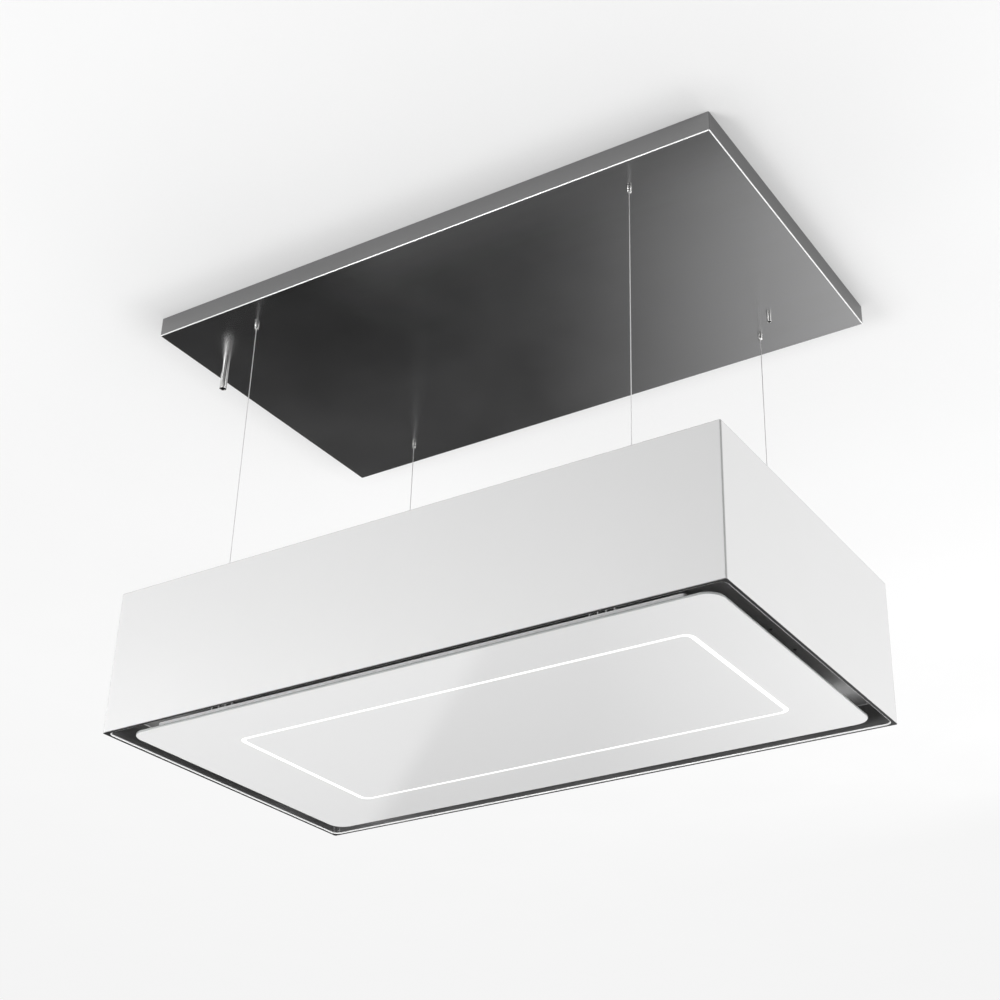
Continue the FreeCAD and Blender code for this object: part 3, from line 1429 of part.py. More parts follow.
def blower_shell(side):
    """Half of the scroll housing, with its inlet and the ears that hang it."""
    name = "blower_shell_left" if side < 0 else "blower_shell_right"
    outlet_top = top_underside - d.outlet_play
    half = side * d.scroll_half
    outer_x = sorted_pair(as_size(0), half)
    inner_x = sorted_pair(as_size(0), half - side * d.scroll_wall)
    rib_x = sorted_pair(as_size(0), side * d.joint_rib_half)
    plate_x = sorted_pair(half, -side * d.scroll_wall)
    collar_x = sorted_pair(half, side * d.inlet_collar_long)
    outer = scroll_solid(f"{name}_outer", outer_x, as_size(0), outlet_top)
    inner = scroll_solid(f"{name}_inner", inner_x, d.scroll_wall, outlet_top)
    rib_top = outlet_top - d.slat_deep
    rib = scroll_solid(f"{name}_rib", rib_x, -d.joint_rib, rib_top)
    ear_y = (-d.ear_margin - scroll_first, outlet_back)
    ear_z = (hood_top - d.ear_drop, hood_top - d.ear_gap)
    ear = block(f"{name}_ear", plate_x, ear_y, ear_z)
    middle = (as_size(0), blower_z)
    collar_r = inlet + d.inlet_collar
    collar = rod(f"{name}_collar", collar_r, *collar_x, middle, "x")
    solid = fuse(f"{name}_solid", [outer, rib, ear, collar])
    reach = sorted_pair(half - side * d.scroll_wall, side * (d.scroll_wall + d.inlet_collar_long))
    tools = [inner, rod(f"{name}_inlet", inlet, *reach, middle, "x")]
    for number, y in enumerate(ear_screw_ys()):
        spot = (y, hood_top - d.ear_screw_drop)
        tools.append(rod(f"{name}_ear_hole{number}", d.screw, *plate_x, spot, "x"))
    if side < 0:
        for number, (y, z) in enumerate(spider_screw_spots()):
            tools.append(rod(f"{name}_spider_hole{number}", d.screw, *plate_x, (y, z), "x"))
    return cut(name, solid, tools)


def spider_screw_spots():
    """Places of the three screws that hold the motor's spider, as Y and Z."""
    spots = []
    circle = inlet + d.spider_screw_step
    for turn in (90, 210, 330):
        angle = math.radians(turn)
        y = circle * round(math.cos(angle), 9)
        z = blower_z + circle * round(math.sin(angle), 9)
        spots.append((y, z))
    return spots


def blower_screws():
    """Screws that hang the blower from its cross members and hold the motor's spider."""
    screws = []
    for side in (-1, 1):
        for number, y in enumerate(ear_screw_ys()):
            tag = f"{side}{number}"
            face = side * (d.scroll_half + d.chassis_sheet)
            spot = (y, hood_top - d.ear_screw_drop)
            head_x = sorted_pair(face, side * d.screw_head_tall)
            shank_x = sorted_pair(face, -side * d.ear_screw_long)
            head = rod(f"ear_screw_head{tag}", d.screw_head, *head_x, spot, "x")
            shank = rod(f"ear_screw_shank{tag}", d.screw, *shank_x, spot, "x")
            screws.append(fuse(f"ear_screw{tag}", [head, shank]))
    for number, spot in enumerate(spider_screw_spots()):
        face = -d.scroll_half
        head_x = (face - d.screw_head_tall, face)
        head = rod(f"spider_screw_head{number}", d.rivet_head, *head_x, spot, "x")
        shank_x = (face, face + d.spider_screw_long)
        shank = rod(f"spider_screw_shank{number}", d.screw, *shank_x, spot, "x")
        screws.append(fuse(f"spider_screw{number}", [head, shank]))
    return group("blower_screws", screws)


def motor_spider():
    """Three-armed rear plate of the motor, with the rear bearing's seat."""
    middle = (as_size(0), blower_z)
    face = spider_face
    plate_x = (face, motor_back)
    pieces = [rod("spider_plate", motor - d.spider_hub_step, *plate_x, middle, "x")]
    for number, turn in enumerate((90, 210, 330)):
        arm = doc.addObject("Part::Box", f"spider_arm{number}")
        arm.Placement = FreeCAD.Placement(Vector(0, 0, 0), Rotation(Vector(1, 0, 0), turn))
        bind(arm, "Length", d.spider_sheet)
        bind(arm, "Width", inlet + d.spider_screw_step + d.spider_margin)
        bind(arm, "Height", d.spider_arm)
        angle = math.radians(turn)
        across = d.spider_arm / 2
        y = across * round(math.sin(angle), 9)
        z = blower_z - across * round(math.cos(angle), 9)
        pieces.append(place(arm, face, y, z))
    seat_x = (motor_back, motor_back + d.bearing_wide)
    pieces.append(rod("spider_seat", d.bearing_seat, *seat_x, middle, "x"))
    holes = [rod("spider_bore", d.bearing, *seat_x, middle, "x")]
    for number, spot in enumerate(spider_screw_spots()):
        holes.append(rod(f"spider_hole{number}", d.screw, *plate_x, spot, "x"))
    return cut("motor_spider", fuse("spider_solid", pieces), holes)


def motor_housing():
    """Motor can, closed in front, with the front bearing's seat."""
    middle = (as_size(0), blower_z)
    front = -d.motor_front
    floor = front - d.motor_wall
    can = rod("motor_can", motor, motor_back, front, middle, "x")
    hollow = rod("motor_hollow", motor - d.motor_wall, motor_back, floor, middle, "x")
    seat_x = (floor - d.bearing_wide, floor)
    shell = cut("motor_shell", can, [hollow])
    seat = rod("motor_seat", d.bearing_seat, *seat_x, middle, "x")
    solid = fuse("motor_solid", [shell, seat])
    bore = rod("motor_bearing_bore", d.bearing, *seat_x, middle, "x")
    hole = rod("motor_shaft_hole", d.shaft + d.rotor_play, floor, front, middle, "x")
    return cut("motor_housing", solid, [bore, hole])


def stator():
    middle = (as_size(0), blower_z)
    ring = rod("stator_ring", motor - d.motor_wall, *stator_x, middle, "x")
    bore = rod("stator_bore", stator_inner, *stator_x, middle, "x")
    return cut("stator", ring, [bore])


def bearings():
    """Front and rear shaft bearings."""
    middle = (as_size(0), blower_z)
    front = -d.motor_front - d.motor_wall - d.bearing_wide
    rings = []
    for label, start in (("front", front), ("back", motor_back)):
        x = (start, start + d.bearing_wide)
        ring = rod(f"bearing_ring_{label}", d.bearing, *x, middle, "x")
        bore = rod(f"bearing_bore_{label}", d.shaft + d.running, *x, middle, "x")
        rings.append(cut(f"bearing_{label}", ring, [bore]))
    return group("bearings", rings)


def rotor_shaft():
    """Shaft with the motor's rotor; the impeller's hub sits on its front end."""
    middle = (as_size(0), blower_z)
    back = motor_back + d.shaft_back_play
    shaft = rod("shaft_rod", d.shaft, back, d.shaft_front, middle, "x")
    core = stator_inner - d.rotor_play
    rotor_x = (stator_x[0] + d.rotor_short, stator_x[1] - d.rotor_short)
    rotor = rod("shaft_rotor", core, *rotor_x, middle, "x")
    return fuse("rotor_shaft", [shaft, rotor])


def impeller():
    """Double-inlet wheel with forward-curved blades on a middle disc."""
    body = new_body("impeller")
    role = "YZ_Plane"
    disc = sketch_on(body, "wheel_disc_outline", role, 0, blower_z, -d.wheel_disc / 2)
    draw_circle(disc, wheel)
    pad(body, "wheel_disc_pad", disc, d.wheel_disc)
    hub = sketch_on(body, "wheel_hub_outline", role, 0, blower_z, -d.wheel_hub_back)
    draw_circle(hub, d.wheel_hub)
    pad(body, "wheel_hub_pad", hub, d.wheel_hub_back + d.wheel_hub_front)
    for end in (-1, 1):
        start = end * wheel_half - (d.wheel_ring if end > 0 else as_size(0))
        ring = sketch_on(body, f"wheel_ring_outline{end}", role, 0, blower_z, start)
        draw_circle(ring, wheel)
        draw_circle(ring, wheel - d.wheel_ring)
        if end < 0:
            first_ring = ring
        blade = sketch_on(body, f"blade_outline{end}", role, 0, blower_z, blade_start(end))
        draw_blade(blade)
        row = pad(body, f"blade{end}", blade, wheel_half - d.wheel_disc / 2)
        rows = body.newObject("PartDesign::PolarPattern", f"blades{end}")
        rows.Originals = [row]
        rows.Axis = (blade, ["N_Axis"])
        rows.Angle = 360
        rows.Occurrences = 36
        body.Tip = rows
        pad(body, f"wheel_ring_pad{end}", ring, d.wheel_ring)
    bore = sketch_on(body, "wheel_bore_outline", role, 0, blower_z, -d.wheel_hub_back)
    draw_circle(bore, d.shaft)
    pocket(body, "wheel_bore", bore, d.wheel_hub_back + d.wheel_hub_front)
    first_ring.Visibility = False
    return body


def blade_start(end):
    return -wheel_half if end < 0 else as_size(d.wheel_disc / 2)


def draw_blade(sketch):
    """A curved blade: two arcs about one centre, closed at the wheel's inner and outer radius."""
    centre = wheel - d.blade_centre_step
    inner = blade_inner
    outer = wheel - d.blade_thick
    arcs = []
    for radius in (d.blade_curve, d.blade_curve + d.blade_thick):
        angles = []
        for reach in (outer, inner):
            c, r, e = centre.value, radius.value, reach.value
            cosine = (e * e - c * c - r * r) / (2 * c * r)
            angles.append(math.acos(cosine))
        circle = Part.Circle(Vector(centre.value, 0, 0), Vector(0, 0, 1), radius.value)
        arc = Part.ArcOfCircle(circle, min(angles), max(angles))
        arcs.append(sketch.addGeometry(arc, False))
    for point in (1, 2):
        start = sketch.getPoint(arcs[0], point)
        end = sketch.getPoint(arcs[1], point)
        line = sketch.addGeometry(Part.LineSegment(start, end), False)
        sketch.addConstraint(Sketcher.Constraint("Coincident", line, 1, arcs[0], point))
        sketch.addConstraint(Sketcher.Constraint("Coincident", line, 2, arcs[1], point))
    sketch.addConstraint(Sketcher.Constraint("Coincident", arcs[0], 3, arcs[1], 3))
    offset_from_origin(sketch, "DistanceX", centre, arcs[0], 3)
    offset_from_origin(sketch, "DistanceY", 0, arcs[0], 3)
    for arc, radius in zip(arcs, (d.blade_curve, d.blade_curve + d.blade_thick)):
        dimension(sketch, "Radius", radius, arc)
        dimension(sketch, "Distance", outer, -1, 1, arc, 1)
        dimension(sketch, "Distance", inner, -1, 1, arc, 2)


def charcoal_filter(side):
    """Round cassette that twists onto the blower's inlet collar."""
    name = "charcoal_filter_left" if side < 0 else "charcoal_filter_right"
    middle = (as_size(0), blower_z)
    start = side * (d.scroll_half + d.charcoal_gap)
    x = sorted_pair(start, side * d.charcoal_thick)
    socket_x = sorted_pair(start, side * d.charcoal_socket)
    disc = rod(f"{name}_disc", inlet + d.inlet_collar + d.charcoal_rim, *x, middle, "x")
    socket = inlet + d.inlet_collar + d.seat
    hollow = rod(f"{name}_socket", socket, *socket_x, middle, "x")
    return cut(name, disc, [hollow])


# ---------------------------------------------------------------- electrics

cross_bottom = flange_underside - d.cross_height
plate_bottom = cross_bottom - d.electrics_plate_sheet


def electrics_plate():
    half = d.electrics_plate_length / 2
    x = (outer_cross_x - half, outer_cross_x + half)
    y = limits(d.electrics_plate_width / 2)
    return block("electrics_plate", x, y, (plate_bottom, cross_bottom))


def control_limits():
    half_y = d.control_width / 2
    end = outer_cross_x - d.control_offset_x + d.control_length / 2
    x = (end - d.control_length, end)
    y = (-d.control_offset_y - half_y, half_y - d.control_offset_y)
    return x, y, (plate_bottom - d.control_height, plate_bottom)


def control_box():
    """Plastic box of the control electronics, open below, with four board posts."""
    x, y, z = control_limits()
    wall = d.control_wall
    outer = block("control_outer", x, y, z)
    inside = block(
        "control_inside",
        (x[0] + wall, x[1] - wall),
        (y[0] + wall, y[1] - wall),
        (z[0], z[1] - wall),
    )
    pieces = [cut("control_shell", outer, [inside])]
    roof = z[1] - wall
    for number, (side_x, side_y) in enumerate(CORNERS):
        edge_x = x[0] if side_x < 0 else x[1]
        edge_y = y[0] if side_y < 0 else y[1]
        inset = d.control_post_inset
        spot = (edge_x - side_x * inset, edge_y - side_y * inset)
        low = roof - d.control_post_tall
        pieces.append(rod(f"control_post{number}", d.control_post, low, roof, spot))
    return fuse("control_box", pieces)


def control_board():
    """Circuit board against the posts, with its relays and its supply transformer."""
    x, y, z = control_limits()
    margin = d.control_wall + d.board_play
    high = z[1] - d.control_wall - d.control_post_tall
    low = high - d.circuit_thick
    board = block(
        "circuit_sheet",
        (x[0] + margin, x[1] - margin),
        (y[0] + margin, y[1] - margin),
        (low, high),
    )
    pieces = [board]
    parts_on_board = ((0.25, 0.3, 30, 26, 16), (0.6, 0.25, 19, 15, 14), (0.6, 0.6, 19, 15, 14))
    for number, (share_x, share_y, long, wide, tall) in enumerate(parts_on_board):
        start_x = x[0] + d.control_length * share_x
        start_y = y[0] + d.control_width * share_y
        part_x = (start_x, start_x + long)
        part_y = (start_y, start_y + wide)
        pieces.append(block(f"circuit_part{number}", part_x, part_y, (low - tall, low)))
    return fuse("control_board", pieces)


def control_box_lid():
    x, y, z = control_limits()
    wall = d.control_wall
    plate = block("control_lid_plate", x, y, (z[0] - wall, z[0]))
    rib = block(
        "control_lid_rib",
        (x[0] + wall, x[1] - wall),
        (y[0] + wall, y[1] - wall),
        (z[0], z[0] + wall),
    )
    return fuse("control_box_lid", [plate, rib])


def led_driver():
    """Supply unit of the light, beside the control box."""
    control_x, control_y, _ = control_limits()
    x = (control_x[1] - d.driver_length, control_x[1])
    start = control_y[1] + d.driver_gap
    y = (start, start + d.driver_width)
    low = plate_bottom - d.driver_height
    return block("led_driver", x, y, (low, plate_bottom))


def run_capacitor():
    """Motor capacitor in its saddle under the electrics plate."""
    half = d.capacitor_long / 2
    start = control_limits()[0][1] + d.capacitor_gap
    x = (start, start + d.capacitor_long)
    low = plate_bottom - d.capacitor * 2
    middle = (-d.capacitor_offset, low + d.capacitor)
    can = rod("capacitor_can", d.capacitor, *x, middle, "x")
    saddle_x = (start + half - d.capacitor / 2, start + half + d.capacitor / 2)
    saddle_y = (-d.capacitor_offset - d.capacitor, d.capacitor - d.capacitor_offset)
    saddle = block("capacitor_saddle", saddle_x, saddle_y, (middle[1], plate_bottom))
    return fuse("run_capacitor", [can, saddle])


# ---------------------------------------------------------------- all nodes

nodes = [ceiling_cover(), ceiling_rail(-1), ceiling_rail(1)]
nodes += [ceiling_cross_rails(), ceiling_frame_bolts(), wire_grippers()]
for corner_number, corner in enumerate(CORNERS, start=1):
    nodes.append(gripper_release(corner_number, *corner))
nodes += [gripper_nuts(), suspension_wires()]
supply_spot, control_spot = lead_spots()
nodes += [
    sleeve("supply_sleeve", d.supply_sleeve, d.supply_sleeve_bore, d.supply_sleeve_drop, supply_spot),
    sleeve(
        "control_sleeve", d.control_sleeve, d.control_sleeve_bore, d.control_sleeve_drop, control_spot
    ),
]
nodes += [junction_box(), junction_box_lid()]
nodes += [casing(), top_cover(), cover_screws(), outlet_grille()]
nodes += [chassis_rails(), cross_members(), wire_anchors(), anchor_nuts(), lead_glands()]
nodes += [liner(), liner_brackets(), liner_rivets()]
for filter_side, filter_middle in filter_centres():
    word = "left" if filter_side < 0 else "right"
    nodes.append(grease_filter(f"grease_filter_{word}", filter_middle))
    nodes.append(filter_latch(f"filter_latch_{word}", filter_middle))
nodes += [glass_panel(), panel_tray(), led_channel(), led_board(), light_guide()]
nodes += [catch_yokes(), catch_magnets()]
nodes += [hinge_brackets(), hinge_pins(), hinge_screws(), hinge_leaves()]
nodes += [blower_shell(-1), blower_shell(1), blower_screws()]
nodes += [motor_spider(), motor_housing(), stator(), bearings(), rotor_shaft(), impeller()]
nodes += [charcoal_filter(-1), charcoal_filter(1)]
nodes += [electrics_plate(), control_box(), control_board(), control_box_lid()]
nodes += [led_driver(), run_capacitor()]
doc.recompute()

# ---------------------------------------------------------------- checks and files

failed = [item.Name for item in doc.Objects if {"Invalid", "Error"} & set(item.State)]
if failed:
    raise RuntimeError(f"these objects didn't build: {failed}")
for node in nodes:
    if node.Shape.isNull() or not node.Shape.isValid():
        raise RuntimeError(f"{node.Label} has no valid shape")

os.makedirs("parts", exist_ok=True)
for node in nodes:
    node.Shape.exportStep(f"parts/{node.Label}.step")
    box = node.Shape.BoundBox
    print(f"{node.Label:24s} solids {len(node.Shape.Solids):2d}  volume {node.Shape.Volume:12.1f}")
print(f"{len(nodes)} nodes")
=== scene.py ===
import bpy
import bmesh
import json
import math
from mathutils import Matrix, Vector


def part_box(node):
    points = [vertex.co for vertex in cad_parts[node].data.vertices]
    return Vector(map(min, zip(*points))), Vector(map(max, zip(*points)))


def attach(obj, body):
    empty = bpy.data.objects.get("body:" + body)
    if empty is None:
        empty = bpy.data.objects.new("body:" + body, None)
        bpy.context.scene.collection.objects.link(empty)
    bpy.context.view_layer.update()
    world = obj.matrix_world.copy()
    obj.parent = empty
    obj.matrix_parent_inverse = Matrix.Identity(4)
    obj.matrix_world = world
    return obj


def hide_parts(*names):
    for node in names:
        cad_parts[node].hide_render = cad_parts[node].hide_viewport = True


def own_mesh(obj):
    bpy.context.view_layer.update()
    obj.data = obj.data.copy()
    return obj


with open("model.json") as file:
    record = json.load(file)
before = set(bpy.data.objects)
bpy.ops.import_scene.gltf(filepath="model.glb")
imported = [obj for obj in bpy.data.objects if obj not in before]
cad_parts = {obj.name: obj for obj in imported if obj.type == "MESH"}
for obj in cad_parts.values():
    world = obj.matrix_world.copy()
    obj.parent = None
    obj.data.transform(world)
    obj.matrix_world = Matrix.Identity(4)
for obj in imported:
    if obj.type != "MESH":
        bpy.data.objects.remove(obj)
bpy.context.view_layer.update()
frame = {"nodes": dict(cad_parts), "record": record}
nodes = frame["nodes"]
mm = 0.001
print("frame loaded:", len(nodes), "nodes")


def setInputs(node, inputs):
    # an input takes a plain value or another node's output
    for key, value in inputs.items():
        if isinstance(value, bpy.types.NodeSocket):
            node.id_data.links.new(value, node.inputs[key])
        else:
            node.inputs[key].default_value = value


def addNode(tree, kind, inputs=None, **settings):
    node = tree.nodes.new(kind)
    for key, value in settings.items():
        setattr(node, key, value)
    setInputs(node, inputs or {})
    return node


def grey(value, tint=(0, 0, 0)):
    return (value + tint[0], value + tint[1], value + tint[2], 1.0)


def treeOf(*values):
    # the tree that these inputs belong to
    return next(value.id_data for value in values if isinstance(value, bpy.types.NodeSocket))


def mathNode(operation, first, second=0.0):
    return addNode(treeOf(first, second), "ShaderNodeMath", {0: first, 1: second}, operation=operation).outputs[0]


def times(first, *others):
    for value in others:
        first = mathNode("MULTIPLY", first, value)
    return first


def maths(operation):
    # a kind of math node under a short name
    return lambda first, second=0.0: mathNode(operation, first, second)


plus, minus, divided = maths("ADD"), maths("SUBTRACT"), maths("DIVIDE")
largest, smallest = maths("MAXIMUM"), maths("MINIMUM")
moreThan, lessThan = maths("GREATER_THAN"), maths("LESS_THAN")
sizeOf, squareRoot = maths("ABSOLUTE"), maths("SQRT")


def place(tree, scale=(1, 1, 1)):
    # the object's own coordinates, stretched
    coords = addNode(tree, "ShaderNodeTexCoord").outputs["Object"]
    return addNode(tree, "ShaderNodeMapping", {"Vector": coords, "Scale": scale}).outputs["Vector"]


def axes(tree, vector=None):
    return addNode(tree, "ShaderNodeSeparateXYZ", {0: vector or place(tree)}).outputs


def combine(tree, **parts):
    return addNode(tree, "ShaderNodeCombineXYZ", parts).outputs[0]


def noise(vector, scale=1.0, detail=3.0, rough=0.55):
    inputs = {"Vector": vector, "Scale": scale, "Detail": detail, "Roughness": rough}
    return addNode(vector.id_data, "ShaderNodeTexNoise", inputs).outputs["Fac"]


def cells(vector, scale, feature="F1"):
    inputs = {"Vector": vector, "Scale": scale}
    return addNode(vector.id_data, "ShaderNodeTexVoronoi", inputs, feature=feature).outputs


def firstChannel(colour):
    return addNode(colour.id_data, "ShaderNodeSeparateColor", {0: colour}).outputs[0]


def spread(value, low, high, start=0.3, end=0.7, kind="LINEAR"):
    # takes a pattern from start..end to low..high
    inputs = {"Value": value, "From Min": start, "From Max": end, "To Min": low, "To Max": high}
    return addNode(value.id_data, "ShaderNodeMapRange", inputs, interpolation_type=kind).outputs["Result"]


def between(factor, first, second):
    # a colour between two others
    inputs = {0: factor, 6: first, 7: second}
    return addNode(treeOf(factor, first, second), "ShaderNodeMix", inputs, data_type="RGBA").outputs[2]


def either(pick, first, second):
    return addNode(treeOf(pick, first, second), "ShaderNodeMix", {0: pick, 2: first, 3: second}).outputs[0]


def mixOf(first, second, shares):
    # two patterns added by their shares
    return plus(times(first, shares[0]), times(second, shares[1]))


def shaded(pattern, dark, light, tint=(0, 0, 0), *span):
    # a grey between two others, by a pattern
    return between(spread(pattern, 0, 1, *span), grey(dark, tint), grey(light, tint))


def reachOf(vector):
    return addNode(vector.id_data, "ShaderNodeVectorMath", {0: vector}, operation="LENGTH").outputs["Value"]


def along(vector, facing):
    inputs = {0: vector, 1: facing}
    return addNode(vector.id_data, "ShaderNodeVectorMath", inputs, operation="DOT_PRODUCT").outputs["Value"]


def bump(height, strength, distance):
    inputs = {"Height": height, "Strength": strength, "Distance": distance}
    return addNode(height.id_data, "ShaderNodeBump", inputs).outputs["Normal"]


def newTree(owner):
    owner.use_nodes = True
    owner.node_tree.nodes.clear()
    return owner.node_tree


def newFinish(name):
    # a material with only the main shader in it
    material = bpy.data.materials.new(name)
    tree = newTree(material)
    shader = addNode(tree, "ShaderNodeBsdfPrincipled")
    addNode(tree, "ShaderNodeOutputMaterial", {"Surface": shader.outputs["BSDF"]})
    return material, tree, shader


def wear(shader, tone, rough, normal=None, plain=None):
    # what varies over the surface, then the values that are the same all over
    setInputs(shader, {"Base Color": tone, "Roughness": rough, **(plain or {})})
    if normal:
        setInputs(shader, {"Normal": normal})


def dress(material, name):
    nodes[name].material_slots[0].material = material


def addFinish(mesh, material, isThere):
    # a second finish, on the faces that the test picks
    mesh.materials.append(material)
    for face in mesh.polygons:
        face.material_index = int(isThere(face))


def inScene(name, data):
    thing = bpy.data.objects.new(name, data)
    bpy.context.scene.collection.objects.link(thing)
    return thing


def newPiece(name, mesh, body, slot, *stoodFor):
    piece = inScene(name, mesh)
    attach(piece, body)
    if stoodFor:
        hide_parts(*stoodFor)
    return piece


cameraLook = {
    "place": (1.5727, -2.3535, -1.9706),
    "azimuth": 30.18,
    "elevation": 28.77,
    "lens": 63.265,
    "shift": (-0.10065, 0.0018),
    "clip": (0.05, 100),
}


def makeCamera(look):
    data = bpy.data.cameras.new("roomCamera")
    camera = inScene("roomCamera", data)
    camera.location = look["place"]
    camera.rotation_euler = (math.radians(90 + look["elevation"]), 0, math.radians(look["azimuth"]))
    data.sensor_width = 36
    data.lens = look["lens"]
    data.shift_x, data.shift_y = look["shift"]
    data.clip_start, data.clip_end = look["clip"]
    bpy.context.scene.camera = camera


makeCamera(cameraLook)
print("camera set")


studioLook = {
    "ceilingReach": 30.0,
    "ceilingRise": 0.8 * mm,                            # the plane stays clear of the cover's top
    "ceilingPaint": (0.40, 0.06),                       # near the hood, far from it
    "ceilingLift": (0.50, 0.895),
    "ceilingFade": (0.8, 2.3),
    "ceilingPaintedLightByY": (-0.02, 0.055, -1.1, 0.9),           # painted shade added in front of the hood and painted light behind it; from y, to y
    "ceilingShade": (0.55, 0.9),                        # how dark the soft shadow is, how far it reaches
    "coverShade": (0.07, 0.12),                         # a painted soft shadow close round the cover: how dark, how far it reaches
    "sky": ((0.20, 0.02), (0.46, 0.12), (0.56, 0.38)),  # share of the way up, level
    "glowFacing": (0.92, 0.39, 0),                      # low behind the hood the room brightens towards the right
    "glowReach": (-0.12, 0.17),
    "glowBack": (0.35, 0.65),
    "glowHeights": (-0.39, -0.23),
    "glowLevel": 2.2,
    "cardFacing": (-0.605, -0.656, -0.450),             # a far white card, low at the left, with a leaning edge
    "cardEdge": 0.006,
    "cardHeights": (-0.45, -0.42, -0.29, -0.26),
    "cardLevel": 0.62,
    "backdrop": 0.93,
}

lamps = {
    # name: place, aimed at, width, height, power
    "frontLamp": ((-2.4, -3.4, -3.0), (-0.3, 0, -0.7), 2.6, 2.0, 72),
    "leftLamp": ((-1.2, -2.6, -2.2), (-0.25, 0, -0.7), 1.6, 1.6, 55),
    "rightLamp": ((3.6, 0.5, -1.62), (0.3, 0, -0.6), 2.4, 2.4, 84),
    "floorLamp": ((-0.8, 1.0, -4.0), (0.0, 0, -0.8), 2.6, 2.6, 51),
    "nearLamp": ((1.9, -3.0, -2.5), (0.2, 0, -0.8), 1.0, 1.0, 14),
    "backLamp": ((0.5, 3.0, -1.4), (0.1, 0, -0.5), 1.8, 1.6, 46),
}


def makeCeiling(look):
    reach = look["ceilingReach"]
    mesh = bpy.data.meshes.new("roomCeiling")
    corners = [(-reach, -reach), (-reach, reach), (reach, reach), (reach, -reach)]
    mesh.from_pydata([(x, y, look["ceilingRise"]) for x, y in corners], [], [(0, 1, 2, 3)])
    ceiling = inScene("roomCeiling", mesh)
    material = bpy.data.materials.new("ceilingPaint")
    tree = newTree(material)
    path = addNode(tree, "ShaderNodeLightPath").outputs
    seen = largest(path["Is Camera Ray"], largest(path["Is Glossy Ray"], path["Is Transmission Ray"]))
    plaster = noise(place(tree), 3.0, 2.0)
    fade = spread(reachOf(place(tree)), 0, 1, *look["ceilingFade"], "SMOOTHSTEP")
    paint = between(fade, *[grey(value) for value in look["ceilingPaint"]])
    paint = between(spread(plaster, 0, 0.02), paint, grey(0.6))
    wall = addNode(tree, "ShaderNodeBsdfDiffuse", {"Color": paint})
    # painted shadow: the pale lift is darkened where the cover and the hood stand in its way
    at = axes(tree)
    # painted shade in front of the hood and painted light behind it, by y
    behind = times(spread(at["Y"], *look["ceilingPaintedLightByY"]), minus(1.0, fade))
    level = plus(spread(fade, *look["ceilingLift"], 0, 1), behind)
    dark, far = look["ceilingShade"]
    clearing = addNode(tree, "ShaderNodeAmbientOcclusion", {"Distance": far}, samples=8).outputs["AO"]
    level = times(level, spread(clearing, dark, 1, 0, 1))
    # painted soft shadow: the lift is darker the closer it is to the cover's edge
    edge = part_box("ceiling_cover")[1]
    past = [minus(sizeOf(at[key]), limit) for key, limit in zip("XY", edge)]
    outside = [largest(value, 0.0) for value in past]
    gap = reachOf(combine(tree, X=outside[0], Y=outside[1]))
    dark, far = look["coverShade"]
    level = minus(level, spread(gap, dark, 0, 0, far, "SMOOTHSTEP"))
    # right above the cover the lift is whole, so that the frame inside it can be seen from above
    level = largest(level, lessThan(largest(*past), -2 * mm))
    lift = addNode(tree, "ShaderNodeEmission", {"Color": grey(1.0), "Strength": times(seen, level)})
    both = addNode(tree, "ShaderNodeAddShader", {0: wall.outputs[0], 1: lift.outputs[0]})
    clear = addNode(tree, "ShaderNodeBsdfTransparent")
    facing = addNode(tree, "ShaderNodeNewGeometry").outputs["Backfacing"]
    side = addNode(tree, "ShaderNodeMixShader", {0: facing, 1: both.outputs[0], 2: clear.outputs[0]})
    addNode(tree, "ShaderNodeOutputMaterial", {"Surface": side.outputs[0]})
    mesh.materials.append(material)
    ceiling.visible_diffuse = False
    ceiling.visible_shadow = False


def makeWorld(look):
    bpy.context.scene.world = bpy.data.worlds.new("room")
    tree = newTree(bpy.context.scene.world)
    direction = addNode(tree, "ShaderNodeTexCoord").outputs["Generated"]
    height = axes(tree, direction)["Z"]
    ramp = addNode(tree, "ShaderNodeValToRGB", {"Fac": spread(height, 0, 1, -1, 1)})
    stops = ramp.color_ramp.elements
    stops.new(look["sky"][1][0])
    for stop, (share, level) in zip(stops, look["sky"]):
        stop.position, stop.color = share, grey(level)
    sky = ramp.outputs["Color"]
    glow = spread(along(direction, look["glowFacing"]), 0, 1, *look["glowReach"])
    glow = times(glow, spread(axes(tree, direction)["Y"], 0, 1, *look["glowBack"]),
                 spread(height, 1, 0, *look["glowHeights"]))
    edge = look["cardEdge"]
    beside = spread(along(direction, look["cardFacing"]), 0, 1, -edge, edge)
    above = spread(height, 0, 1, *look["cardHeights"][:2])
    under = spread(height, 1, 0, *look["cardHeights"][2:])
    room = between(glow, sky, grey(look["glowLevel"]))
    lit = between(times(beside, times(above, under)), room, grey(look["cardLevel"]))
    path = addNode(tree, "ShaderNodeLightPath").outputs
    lit = between(path["Is Diffuse Ray"], lit, sky)
    colour = between(path["Is Camera Ray"], lit, grey(look["backdrop"]))
    light = addNode(tree, "ShaderNodeBackground", {"Color": colour, "Strength": 1.0})
    addNode(tree, "ShaderNodeOutputWorld", {"Surface": light.outputs[0]})


def makeLamp(name, spot, aim, width, height, power):
    data = bpy.data.lights.new(name, "AREA")
    data.shape = "RECTANGLE"
    data.size, data.size_y, data.energy = width, height, power
    lamp = inScene(name, data)
    lamp.location = spot
    lamp.rotation_mode = "QUATERNION"
    lamp.rotation_quaternion = (Vector(aim) - Vector(spot)).to_track_quat("-Z", "Y")
    lamp.visible_camera = False
    lamp.visible_glossy = name != "backLamp"


makeCeiling(studioLook)
makeWorld(studioLook)
for lampName, lampLook in lamps.items():
    makeLamp(lampName, *lampLook)
bpy.context.scene.view_settings.view_transform = "Standard"
print("room set")
